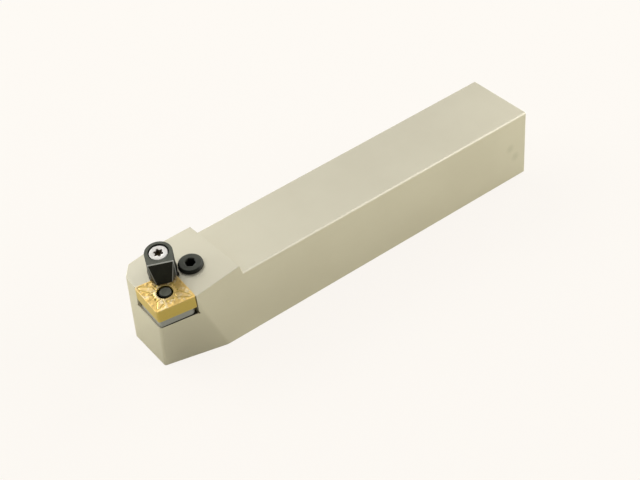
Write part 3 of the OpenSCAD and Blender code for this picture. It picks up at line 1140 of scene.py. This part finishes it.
@dataclass
class RoundedCopy(Piece):
    """A piece copied from its CAD solid, whose edges are rounded, each by a width of its own."""

    solid: Object
    segments: int = 3

    @abstractmethod
    def widths(self, ends: Array) -> Array:
        """The width of each edge's rounding, 0 for none, by its ends in the piece's own frame."""

    def worn(self, faces: Faces) -> Array:
        """How much each face is worn."""
        return faces.rounding

    def relief(self, faces: Faces) -> Array:
        """Each face's mark for painted tone."""
        return np.zeros(len(faces.middles))

    def weighted(self) -> Mesh:
        """The solid's mesh with its triangles merged, and each edge's width as its bevel weight.

        Returns:
            The mesh, for a bevel of one millimetre times the weight.
        """
        form = bmesh.new(use_operators=True)
        form.from_mesh(self.solid.data)
        bmesh.ops.remove_doubles(form, verts=form.verts, dist=WELD)
        bmesh.ops.dissolve_limit(form, angle_limit=math.radians(FLAT), verts=form.verts, edges=form.edges)
        form.verts.index_update()
        mesh = bpy.data.meshes.new(self.name)
        form.to_mesh(mesh)
        folded = np.array([edge.calc_face_angle(0.0) for edge in form.edges])
        form.free()
        ends = read(mesh.vertices, "co", 3)[read(mesh.edges, "vertices", 2, INT)]
        widths = self.widths(self.place.local(ends / MM))
        wanted = np.where(folded > math.radians(FOLD), widths, 0.0)
        weights = mesh.attributes.new("bevel_weight_edge", "FLOAT", "EDGE")
        weights.data.foreach_set("value", wanted.astype(np.float32))
        return mesh

    def shape(self) -> Object:
        """Rounds the copy by a bevel, and marks its faces by the material that the bevel gave.

        Returns:
            The object, with its rounding made part of its mesh.
        """
        mesh = self.weighted()
        rough = linked(self.name + "_rough", mesh)
        # Two empty slots: the bevel gives its faces the second one's number.
        mesh.materials.append(None)
        mesh.materials.append(None)
        bevel = rough.modifiers.new("rounding", "BEVEL")
        bevel.limit_method, bevel.width, bevel.segments = "WEIGHT", MM, self.segments
        bevel.use_clamp_overlap, bevel.material, bevel.miter_outer = False, 1, "MITER_SHARP"
        bpy.context.view_layer.update()
        graph = bpy.context.evaluated_depsgraph_get()
        finished = bpy.data.meshes.new_from_object(rough.evaluated_get(graph))
        bpy.data.objects.remove(rough)
        polygons = finished.polygons
        rounding = read(polygons, "material_index", 1, INT)
        polygons.foreach_set("material_index", np.zeros_like(rounding))
        faces = Faces(self.place.local(read(polygons, "center", 3) / MM),
                      read(polygons, "normal", 3) @ self.place.axes, rounding)
        put_mark(finished, Mark.ROUND, "FACE", rounding)
        put_mark(finished, Mark.EDGE, "FACE", self.worn(faces))
        put_mark(finished, Mark.PAINTED_TONE, "FACE", self.relief(faces))
        return linked(self.name, finished)


@dataclass
class Holder(RoundedCopy):
    """The shank and the head, one piece of steel."""

    nose: float = 1.0
    cut: float = 0.6
    top: float = 0.14
    front: float = 0.042
    long_edge: float = 0.12
    end: float = 0.3
    shank: float = 119.7
    lean_wear: float = 6.0
    head_wear: float = 0.15
    pocket: float = -7.94
    pocket_depth: float = 0.1
    pocket_facing: float = 0.99

    def chains(self) -> list[Chain]:
        """The edges that are rounded, by their ends in the solid.

        Returns:
            The head's upright corners, the head's top, the rear end's rim, the rim under the head,
            and the two edges of each of the shank's four long bevels.
        """
        flat, upright, height, bevel = 12.1, 12.5, 25.0, 0.4
        rise = height - bevel
        corner = (148.09, -8.81, 26.2)
        chains = [
            Chain(self.nose, ((147.82, 6.81, 0.0), (148.91, 8.51, 17.19))),
            Chain(self.cut, ((144.4, -upright, bevel), (144.4, -upright, 26.95))),
            Chain(self.cut, ((146.5, -10.4, 0.0), corner)),
            Chain(self.top, ((137.5, upright, 25.98), (120.81, upright, 28.13), (121.0, 3.83, 28.75),
                             (121.0, -flat, 28.75), (130.2, -flat, 28.75))),
            Chain(self.top, ((119.73, -upright, rise), (120.88, -upright, 28.35), (133.54, -upright, 28.35),
                             (144.4, -upright, 26.95), corner)),
            Chain(self.top, ((119.73, upright, rise), (120.81, upright, 28.13))),
            Chain(self.front, (corner, (148.49, -3.26, 25.74))),
            Chain(self.end, ((0.0, flat, height), (0.0, -flat, height), (0.0, -upright, rise),
                             (0.0, -upright, bevel), (0.0, -flat, 0.0), (0.0, flat, 0.0),
                             (0.0, upright, bevel), (0.0, upright, rise), (0.0, flat, height))),
            Chain(self.end, ((126.75, upright, bevel), (128.07, flat, 0.0), (147.82, 6.81, 0.0),
                             (146.5, -10.4, 0.0), (144.8, -flat, 0.0), (144.4, -upright, bevel))),
        ]
        for y, z, reach in ((-flat, 0.0, 144.8), (-upright, bevel, 144.4), (flat, 0.0, 128.07),
                            (upright, bevel, 126.75), (flat, height, 119.85), (upright, rise, 119.73),
                            (-flat, height, 119.85), (-upright, rise, 119.73)):
            chains.append(Chain(self.long_edge, ((0.0, y, z), (reach, y, z))))
        return chains

    def widths(self, ends: Array) -> Array:
        """The width of each edge's rounding.

        Args:
            ends: both ends of each edge, n by 2 by 3.

        Returns:
            The width of the last chain that holds the edge, or 0.
        """
        width = np.zeros(len(ends))
        for chain in self.chains():
            width = np.where(chain.holds(ends), chain.width, width)
        return width

    def worn(self, faces: Faces) -> Array:
        """The wear of the shank's faces by how far they lean, and a little on the head's roundings.

        Args:
            faces: the faces.

        Returns:
            For the shank, the lesser of a normal's parts along Y and Z times the wear, at most 1.
        """
        lean = np.minimum(*np.abs(faces.normals[:, 1:]).T)
        shank = faces.middles[:, 0] < self.shank
        return np.where(shank, np.minimum(lean * self.lean_wear, 1.0), self.head_wear * faces.rounding)

    def relief(self, faces: Faces) -> Array:
        """Marks the pocket's floor for painted shade, by its depth under the insert's top.

        Args:
            faces: the faces.

        Returns:
            True on the floor.
        """
        seat = SEAT.insert()
        level, facing = seat.local(faces.middles)[:, 2], faces.normals @ seat.axes[:, 2]
        return (np.abs(level - self.pocket) < self.pocket_depth) & (facing > self.pocket_facing)


@dataclass(frozen=True)
class Rhombus:
    """The insert's outline with rounded corners, cut back evenly where wanted."""

    side_points: int
    corner_points: int

    def inset(self, gap: float, radius: float, narrow_radius: float | None = None) -> Array:
        """A closed line inside the insert's outline.

        Each corner's arc has its middle where the two sides, moved in by the gap and the radius,
        meet. The straight stretches join one arc's end to the next one's start in equal steps.

        Args:
            gap: distance in from the sides.
            radius: radius of the corners.
            narrow_radius: radius of the narrow corners, where it differs.

        Returns:
            Points n by 2, anticlockwise from the cutting corner.
        """
        half_angle = math.radians(SEAT.angle / 2)
        radii = np.array([radius, radius if narrow_radius is None else narrow_radius] * 2)
        blunt = SEAT.half_short - (gap + radii[0]) / math.sin(half_angle)
        narrow = SEAT.half_long - (gap + radii[1]) / math.cos(half_angle)
        middles = np.array([[blunt, 0], [0, narrow], [-blunt, 0], [0, -narrow]])
        facing = np.radians([0.0, 90.0, 180.0, 270.0])
        spread = np.array([math.pi / 2 - half_angle, half_angle] * 2)
        share = np.linspace(-1, 1, self.corner_points)
        angle = facing[:, None] + share[None, :] * spread[:, None]
        arcs = middles[:, None] + radii[:, None, None] * np.stack([np.cos(angle), np.sin(angle)], -1)
        step = (np.arange(1, self.side_points) / self.side_points)[None, :, None]
        sides = arcs[:, -1:] * (1 - step) + np.roll(arcs, -1, 0)[:, :1] * step
        return np.concatenate([arcs, sides], 1).reshape(-1, 2)


@dataclass
class Insert(Piece):
    """The double-sided insert with its pressed chip breakers.

    Each dome is a place along the side from its middle, a distance in from the side, a rise and a
    width. Each dimple is a place along both diagonals and a share of the full depth.
    """

    thickness: float = 4.76
    nose: float = 0.8
    bore: float = 2.58
    bore_round: float = 0.1
    hone: float = 0.03
    land: float = 0.3
    groove: float = 0.05
    groove_slope: float = 0.5
    ring: float = 3.6
    ring_slope: float = 0.8
    crease: float = 0.045
    crease_width: float = 0.15
    dimple: float = 0.12
    dimple_width: float = 0.33
    domes: tuple[Dome, ...] = ((-0.4, 1.0, 0.10, 0.55), (-3.0, 0.8, 0.07, 0.4),
                               (2.7, 0.8, 0.08, 0.45), (1.2, 1.7, 0.05, 0.4))
    dimples: tuple[Point, ...] = ((3.3, 1.75, 1.0), (1.75, 3.35, 1.0), (2.4, 2.6, 0.5))
    outer_share: float = 0.3
    outer_rows: int = 26
    inner_rows: int = 40
    flank_tone: float = 0.4
    outline: Rhombus = Rhombus(84, 9)

    def leaf(self, out: Array, off: Array, corner: float) -> Array:
        """A diagonal's leaf: its half width so far out, less the distance off the diagonal."""
        return np.interp(out, [2.9, 4.2, corner - 2.0, corner - 0.9], [0.2, 1.15, 0.55, -0.3]) - off

    def relief(self, x: Array, y: Array) -> tuple[Array, Array]:
        """Height and tone of the top face, by distances from its sides and corners.

        A land runs round the edge, and a shallow groove falls behind it. From the groove's floor
        rise a low ring round the bore, a leaf along each diagonal with a crease along its foot, and
        small domes behind each side. Dimples lie between the leaves' feet. All of it is mirrored in
        both diagonals.

        Args:
            x: distance along the short diagonal.
            y: distance along the long one.

        Returns:
            The height, 0 on the land and less in the groove, and a tone for painted light that is 1, a
            painted highlight, on raised forms, three quarters on plain ground and near 0, painted shade, in
            the creases and dimples.
        """
        across, along = np.abs(x), np.abs(y)
        short, long, side = SEAT.half_short, SEAT.half_long, SEAT.side
        depth = (1 - across / short - along / long) * SEAT.inscribed / 2
        run = ((short - across) * short + along * long) / side
        floor = self.groove * smooth_step(depth, self.land, self.land + self.groove_slope)
        ring = smooth_step(self.ring - np.hypot(x, y), 0.0, self.ring_slope)
        edge = np.maximum(self.leaf(across, along, short), self.leaf(along, across, long))
        raised = np.maximum(ring, smooth_step(edge, -0.1, 0.45))
        fold = bell((edge + 0.04) ** 2, self.crease_width) * smooth_step(depth, 0.4, 0.9)
        domes = sum(rise * bell((run - side / 2 - place) ** 2 + (depth - back) ** 2, wide)
                    for place, back, rise, wide in self.domes)
        dimples = sum(share * bell((across - a) ** 2 + (along - b) ** 2, self.dimple_width)
                      for a, b, share in self.dimples)
        height = (domes - floor) * (1 - raised) - self.crease * fold - self.dimple * dimples
        # Painted light: raised forms and domes take a highlight's pale tone, and creases and dimples take
        # painted shade.
        tone = 0.72 + 0.28 * raised + 1.4 * domes * (1 - raised) - 0.55 * fold - 0.6 * dimples
        return height, np.clip(tone, 0, 1)

    def upper_half(self) -> tuple[Array, Array, Array]:
        """The upper half's rows, from the flank's middle up, in over the top and down the bore.

        Between the outline and the bore's circle a row of the top is a blend of the two.

        Returns:
            The points, rows by columns by 3, and the edge and relief marks.
        """
        rim = self.outline.inset(self.hone, self.nose - self.hone)
        angle = np.arctan2(rim[:, 1], rim[:, 0])
        mouth = (self.bore + self.bore_round) * np.stack([np.cos(angle), np.sin(angle)], -1)
        share = np.concatenate([np.linspace(0, self.outer_share, self.outer_rows),
                                np.linspace(self.outer_share, 1, self.inner_rows)[1:]])[:, None, None]
        plan = rim * (1 - share) + mouth * share
        over, tone = self.relief(plan[..., 0], plan[..., 1])
        over = over * smooth_step(1 - share[..., 0], 0.0, 0.03)
        top = np.concatenate([plan, over[..., None]], -1)
        bend = np.linspace(0, math.pi / 2, 6)[1:-1, None]
        turned = polar(self.bore + self.bore_round * (1 - np.sin(bend)), angle,
                       -self.bore_round * (1 - np.cos(bend)))
        bore = polar(self.bore, angle, -self.bore_round - np.array([[0.0], [1.2]]))
        outer = self.outline.inset(0.0, self.nose)
        honed = self.outline.inset(self.hone * 0.3, self.nose - self.hone * 0.3)
        flank = np.array([at_height(outer, -1.5), at_height(outer, -0.6), at_height(outer, -self.hone),
                          at_height(honed, -self.hone * 0.3)])
        upper = np.concatenate([flank, top, turned, bore])
        # The flank takes a lower tone than the top, so the top is painted paler, as if lit from above.
        mark, relief = np.zeros(upper.shape[:2]), np.full(upper.shape[:2], self.flank_tone)
        # The worn edge is the flank's last two rows and the top's first.
        mark[len(flank) - 2:len(flank) + 1] = 1.0
        relief[len(flank):len(flank) + len(top)] = tone
        return upper, mark, relief

    def shape(self) -> Object:
        """Makes the insert from its upper half and the same turned over below it.

        Returns:
            The object.
        """
        upper, mark, relief = self.upper_half()
        lower = upper[::-1] * np.array([1, 1, -1]) - np.array([0, 0, self.thickness])
        edge = np.concatenate([mark, mark[::-1]])
        marks = {Mark.EDGE: edge, Mark.ROUND: edge, Mark.PAINTED_TONE: np.concatenate([relief, relief[::-1]])}
        return grid_mesh(self.name, self.place.world(np.concatenate([upper, lower])), True, marks)


@dataclass
class Shim(Piece):
    """The plate under the insert, undercut along its lower edge."""

    top: float = -4.76
    thickness: float = 3.18
    setback: float = 0.45
    undercut: float = 0.3
    undercut_height: float = 0.4
    corner: float = 0.8
    narrow: float = 1.6
    bore: float = 3.52
    bevel: float = 0.12
    foot_round: float = 0.05
    lip_round: float = 0.1
    outline: Rhombus = Rhombus(24, 9)

    def shape(self) -> Object:
        """Makes the shim from rows round its section, each the outline at a gap of its own.

        Returns:
            The object.
        """
        low, lip = self.top - self.thickness, self.top - self.thickness + self.undercut_height
        inner = self.setback + self.undercut
        section = np.array([[inner, low], [inner, lip], [self.setback, lip], [self.setback, self.top]])
        radii = np.array([self.foot_round, self.lip_round, self.foot_round, self.bevel])
        line, on_arc = rounded_profile(section, radii)
        rows = [at_height(self.outline.inset(gap, self.corner, self.narrow), height)
                for gap, height in line]
        angle = np.arctan2(rows[0][:, 1], rows[0][:, 0])
        wide = self.bore + self.bevel
        hole = ((wide, self.top), (self.bore, self.top - self.bevel),
                (self.bore, low + self.bevel), (wide, low))
        rows += [polar(radius, angle, height) for radius, height in hole]
        edge = np.append(on_arc, np.ones(len(hole)))
        return grid_mesh(self.name, self.place.world(np.array(rows)), True, {Mark.EDGE: edge})


@dataclass
class Sleeve(RoundedCopy):
    """The split sleeve that locates the shim."""

    segments: int = 2
    rounding: float = 0.06
    half_slit: float = 0.7

    def widths(self, ends: Array) -> Array:
        """One width for the edges of the two ends and of the slit, told by their height and side.

        Args:
            ends: both ends of each edge in the lever's frame, n by 2 by 3.

        Returns:
            The widths.
        """
        level = np.abs(ends[:, 0, 2] - ends[:, 1, 2]) < NEAR / 2
        slit = (np.abs(np.abs(ends[..., 1]) - self.half_slit) < NEAR).all(1)
        return np.where(level | (slit & (ends[:, 0, 0] < 0)), self.rounding, 0.0)


@dataclass
class Lever(RoundedCopy):
    """The bent lever, whose pin pulls the insert back."""

    half_arm: float = 2.1
    arm: float = 0.2
    arm_start: float = 2.0
    arm_length: float = 3.0
    rim: float = 0.08
    pin_low: float = -0.5
    wear: float = 0.2

    def worn(self, faces: Faces) -> Array:
        """The same slight wear on every rounding."""
        return self.wear * faces.rounding

    def relief(self, faces: Faces) -> Array:
        """Marks the pin's top, which is painted a lighter grey."""
        return (faces.normals[:, 2] > UPWARD) & (faces.middles[:, 2] > 2 * self.pin_low)

    def widths(self, ends: Array) -> Array:
        """The widths of the arm's long square edges and of the pin's rim.

        Args:
            ends: both ends of each edge in the lever's frame, n by 2 by 3.

        Returns:
            The widths.
        """
        x, y, z = np.moveaxis(ends, -1, 0)
        side = ((np.abs(np.abs(y) - self.half_arm) < NEAR) & (x > self.arm_start)).all(1)
        arm = side & (np.abs(x[:, 0] - x[:, 1]) > self.arm_length)
        return np.where(arm, self.arm, np.where((z > self.pin_low).all(1), self.rim, 0.0))


@dataclass
class Clamp(RoundedCopy):
    """The finger clamp: a round back and a front that slopes down to the insert."""

    top: float = 7.0
    sink: float = 3.25
    rim: float = 0.2
    brow: float = 0.32
    brow_start: float = 4.2
    front: float = 0.18
    front_start: float = 4.0
    front_height: float = 3.0
    fine: float = 0.08
    tip_start: float = 6.7
    worn_start: float = 4.3
    worn_depth: float = 0.4
    worn_low: float = 0.5
    brow_wear: float = 1.0
    front_wear: float = 0.3
    wear: float = 0.03

    def widths(self, ends: Array) -> Array:
        """Each edge's width by where it lies: tip, front, brow, countersink or top outline.

        Args:
            ends: both ends of each edge in the clamp's frame, n by 2 by 3.

        Returns:
            The widths.
        """
        x, y, z = np.moveaxis(ends, -1, 0)
        high = (z > self.top - NEAR).all(1)
        upright = (np.abs(z[:, 0] - z[:, 1]) > self.front_height) & (x[:, 0] > self.front_start)
        brow, tip = high & (x > self.brow_start).all(1), (x > self.tip_start).all(1)
        mouth = high & (np.hypot(x[:, 0], y[:, 0]) < self.sink + REACH)
        where = [tip, upright, brow, mouth, high]
        return np.select(where, [self.fine, self.front, self.brow, self.fine, self.rim], 0.0)

    def worn(self, faces: Faces) -> Array:
        """Full wear along the top's front edge, less on the front's upright edges, little elsewhere.

        Args:
            faces: the faces.

        Returns:
            The wear of each face.
        """
        ahead, height = faces.middles[:, 0] > self.worn_start, faces.middles[:, 2]
        where = [ahead & (height > self.top - self.worn_depth), ahead & (height > self.worn_low)]
        return faces.rounding * np.select(where, [self.brow_wear, self.front_wear], self.wear)

    def relief(self, faces: Faces) -> Array:
        """Marks the faces that look up, which are painted a lighter grey."""
        return faces.normals[:, 2] > UPWARD


@dataclass
class Screw(Piece):
    """A screw, by its thread, and by its points round and its rows along a turn of the thread."""

    radius: float = 4.0
    pitch: float = 1.0
    cut: float = 0.42
    crest: float = 1.25
    flank: float = 3.6
    run_out: float = 0.3
    worn_from: float = 0.0
    turn_rows: int = 12
    columns: int = 120

    def angles(self) -> Array:
        """The angles of the points round the screw, in radians."""
        return np.linspace(0, FULL_TURN, self.columns, endpoint=False)

    def thread(self, height: Array, low: float, top: float) -> Array:
        """How far the thread's surface lies inside its crest.

        The cut is a wave along the helix: the height over the pitch less the angle's share of a
        turn. It fades out over one pitch at both ends.

        Args:
            height: heights of rows, n by 1.
            low: where the thread starts.
            top: where it ends.

        Returns:
            The distance, rows by columns, 0 at the crest.
        """
        phase = np.mod(height / self.pitch - self.angles() / FULL_TURN, 1.0)
        cut = np.clip(self.crest - self.flank * np.abs(phase - 0.5), 0, 1)
        ends = smooth_step(height, low, low + self.pitch) * smooth_step(top - height, 0.0, self.pitch)
        return self.cut * cut * ends

    def shaft(self, corners: Array, radii: Array, low: float, top: float) -> tuple[Array, Array, Array]:
        """The screw's outside, from its profile, with the thread cut into it.

        Args:
            corners: the profile's corners, each a radius and a height.
            radii: the radii of their roundings.
            low: the height where the thread starts.
            top: the height where its cylinder ends.

        Returns:
            The points, rows by columns by 3, each row's height, and 1 for the rows on a rounding.
        """
        line, on_arc = filled_rows(*rounded_profile(corners, radii), self.pitch / self.turn_rows)
        radius, height = line[:, :1], line[:, 1:]
        threaded = (np.abs(radius - self.radius) < NEAR / 2) & (height < top)
        inside = np.where(threaded, self.thread(height, low, top - self.run_out), 0.0)
        return polar(radius - inside, self.angles(), height), line[:, 1], on_arc

    def socket(self, wall: Array, mouth: float, steps: tuple[tuple[float, float], ...]) -> Array:
        """Rows down a socket: each a share of its wall's radius, and a height over its mouth."""
        return np.array([polar(wall * share, self.angles(), mouth + rise) for share, rise in steps])


@dataclass
class LeverScrew(Screw):
    """The grooved screw that works the lever, with a hexagon socket at both ends."""

    radius: float = 3.9
    worn_from: float = -1.0
    proud: float = 0.8
    bevel: float = 0.5
    neck: float = 2.3
    collar: float = 3.3
    groove_top: float = -10.68
    groove_low: float = -13.32
    low: float = -15.12
    flats: float = 3.0
    mouth_bevel: float = 0.16
    depth: float = 3.5
    low_depth: float = 2.5
    lip: float = 0.2
    drilled: float = 0.5
    # How much of the lighter grey is painted on the screw's top.
    painted_share: float = 0.6

    def shape(self) -> Object:
        """Makes the screw from rows that run from the lower socket's floor up to the upper one's.

        The socket's wall lies at half its width over the cosine of the angle to the nearest flat.

        Returns:
            The object.
        """
        wall = self.flats / 2 / np.cos(np.mod(self.angles(), math.pi / 3) - math.pi / 6)
        mouth = self.flats / 2 / math.cos(math.pi / 6) + self.mouth_bevel
        shoulder = self.proud - self.bevel
        corners = np.array([[mouth, self.low], [self.collar, self.low], [self.collar, self.groove_low],
                            [self.neck, self.groove_low], [self.neck, self.groove_top],
                            [self.radius, self.groove_top], [self.radius, shoulder],
                            [self.radius - self.bevel, self.proud], [mouth, self.proud]])
        radii = np.array([0.0, 0.3, 0.1, 0.3, 0.3, 0.2, 0.12, 0.1, 0.0])
        outer, height, on_arc = self.shaft(corners, radii, self.groove_top, shoulder)
        lower = ((0.0, self.low_depth + self.drilled), (0.6, self.low_depth + self.lip),
                 (1.0, self.low_depth), (1.0, self.lip))
        upper = ((1.0, -self.lip), (1.0, -self.depth), (0.6, -self.depth - self.lip),
                 (0.0, -self.depth - self.drilled))
        points = np.concatenate([self.socket(wall, self.low, lower), outer,
                                 self.socket(wall, self.proud, upper)])
        rows = (len(lower), len(upper))
        marks = {Mark.EDGE: np.pad(on_arc * (height > self.worn_from), rows),
                 Mark.PAINTED_TONE: np.pad(self.painted_share * (height > self.proud - REACH), rows)}
        return grid_mesh(self.name, self.place.world(points), False, marks)


@dataclass
class ClampScrew(Screw):
    """The countersunk screw with a six-lobe recess."""

    radius: float = 1.95
    pitch: float = 0.7
    cut: float = 0.36
    run_out: float = 0.5
    worn_from: float = 5.5
    turn_rows: int = 10
    columns: int = 144
    top: float = 6.65
    length: float = 16.0
    point: float = 0.4
    head: float = 2.89
    rim: float = 0.28
    lobe_out: float = 1.58
    lobe_in: float = 1.02
    lobe_turn: float = 10.0
    lobe_sharpness: float = 0.8
    mouth_bevel: float = 0.12
    depth: float = 1.6

    def shape(self) -> Object:
        """Makes the screw from rows that run from its point up to the recess's floor.

        The recess's wall is a wave of six round lobes between its inner and outer radius.

        Returns:
            The object.
        """
        wave = 0.5 + 0.5 * np.cos(6 * (self.angles() - math.radians(self.lobe_turn)))
        wall = self.lobe_in + (self.lobe_out - self.lobe_in) * wave**self.lobe_sharpness
        low, neck = self.top - self.length, self.top - self.rim - (self.head - self.radius)
        corners = np.array([[0.0, low], [self.radius - self.point, low], [self.radius, low + self.point],
                            [self.radius, neck], [self.head, self.top - self.rim], [self.head, self.top],
                            [self.lobe_out + self.mouth_bevel, self.top]])
        radii = np.array([0.0, 0.1, 0.1, 0.3, 0.04, 0.14, 0.0])
        outer, height, on_arc = self.shaft(corners, radii, low + self.point, neck)
        steps = ((1.04, -0.02), (1.0, -0.10), (0.97, -self.depth * 0.6), (0.95, -self.depth),
                 (0.5, -self.depth - 0.15), (0.0, -self.depth - 0.3))
        # Painted shade down the recess: a little at its mouth, full further in.
        painted_share = (0.15, 0.8, 1.0, 1.0, 1.0, 1.0)
        points = np.concatenate([outer, self.socket(wall, self.top, steps)])
        marks = {Mark.EDGE: np.append(on_arc * (height > self.worn_from), np.zeros(len(steps))),
                 Mark.PAINTED_TONE: np.append(np.zeros(len(height)), painted_share)}
        return grid_mesh(self.name, self.place.world(points), False, marks)


@dataclass
class Spring(Piece):
    """The coil spring that lifts the clamp."""

    wire: float = 0.4
    coil: float = 4.85
    turns: float = 4.0
    low: float = -2.55
    length: float = 2.8
    around: int = 14
    each_turn: int = 56

    def shape(self) -> Object:
        """Makes the wire as a circle carried along a helix.

        A point is the coil's radius plus the wire's radius times the cosine of its angle, out from
        the axis, at the helix's height plus the sine's part.

        Returns:
            The object.
        """
        share = np.linspace(0, 1, int(self.turns * self.each_turn) + 1)[:, None]
        side = np.linspace(0, FULL_TURN, self.around, endpoint=False)
        centre = self.low + self.wire / 2 + (self.length - self.wire) * share
        tube = polar(self.coil / 2 + self.wire / 2 * np.cos(side), FULL_TURN * self.turns * share,
                     centre + self.wire / 2 * np.sin(side))
        ends = [np.broadcast_to(row.mean(1, keepdims=True), row.shape) for row in (tube[:1], tube[-1:])]
        points = np.concatenate([ends[0], tube, ends[1]])
        return grid_mesh(self.name, self.place.world(points), False, {Mark.PAINTED_TONE: np.zeros(len(points))})


# The scene


def tool(solids: dict[str, Object]) -> list[Piece]:
    """The tool's pieces, in the order in which they are made.

    Args:
        solids: the CAD solids by their names.

    Returns:
        The pieces.
    """
    clamp_black = BlackOxide("clamp_black", bare=(0.80, 0.81, 0.76, 1.0), roughness=0.5, cover=1.0)
    screw_black = BlackOxide("screw_black", bare=(0.16, 0.165, 0.14, 1.0), cover=0.3)
    wire = BrightPlate("spring_wire", (0.30, 0.30, 0.29, 1.0), (0.42, 0.42, 0.40, 1.0))
    seat, lever, clamp = SEAT.insert(), SEAT.lever(), SEAT.clamp()
    return [
        Holder("steel_body", "holder_body", Body.HOLDER, Slot.STEEL, SatinSteel(), WORLD,
               solids["holder_body"]),
        Insert("gold_insert", "insert", Body.HOLDER, Slot.COAT, GoldCoat(), seat),
        Shim("carbide_shim", "shim", Body.HOLDER, Slot.SHIM, GroundCarbide(), seat),
        Sleeve("split_sleeve", "shim_sleeve", Body.HOLDER, Slot.SPRING, GroundCarbide("sleeve_steel"),
               lever, solids["shim_sleeve"]),
        Lever("seat_lever", "lever", Body.LEVER, Slot.BLACK, BlackOxide("lever_black"), lever,
              solids["lever"]),
        LeverScrew("socket_screw", "lever_screw", Body.LEVER_SCREW, Slot.BLACK, screw_black,
                   SEAT.lever_screw()),
        Clamp("finger_clamp", "clamp", Body.CLAMP, Slot.BLACK, clamp_black, clamp, solids["clamp"]),
        ClampScrew("lobe_screw", "clamp_screw", Body.CLAMP_SCREW, Slot.SILVER,
                   BrightPlate("screw_plate"), clamp),
        Spring("lift_spring", "clamp_spring", Body.HOLDER, Slot.SPRING, wire, clamp),
    ]


def main() -> None:
    """Loads the frame, makes the camera, the studio and every piece."""
    logging.basicConfig(level=logging.INFO, format="%(message)s")
    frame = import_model()
    Camera().build()
    Studio().build()
    for piece in tool(frame["nodes"]):
        faces = len(piece.build().data.polygons)
        LOG.info("%s: %d faces, rides on %s", piece.name, faces, piece.body.value)


if __name__ == "__main__":
    main()
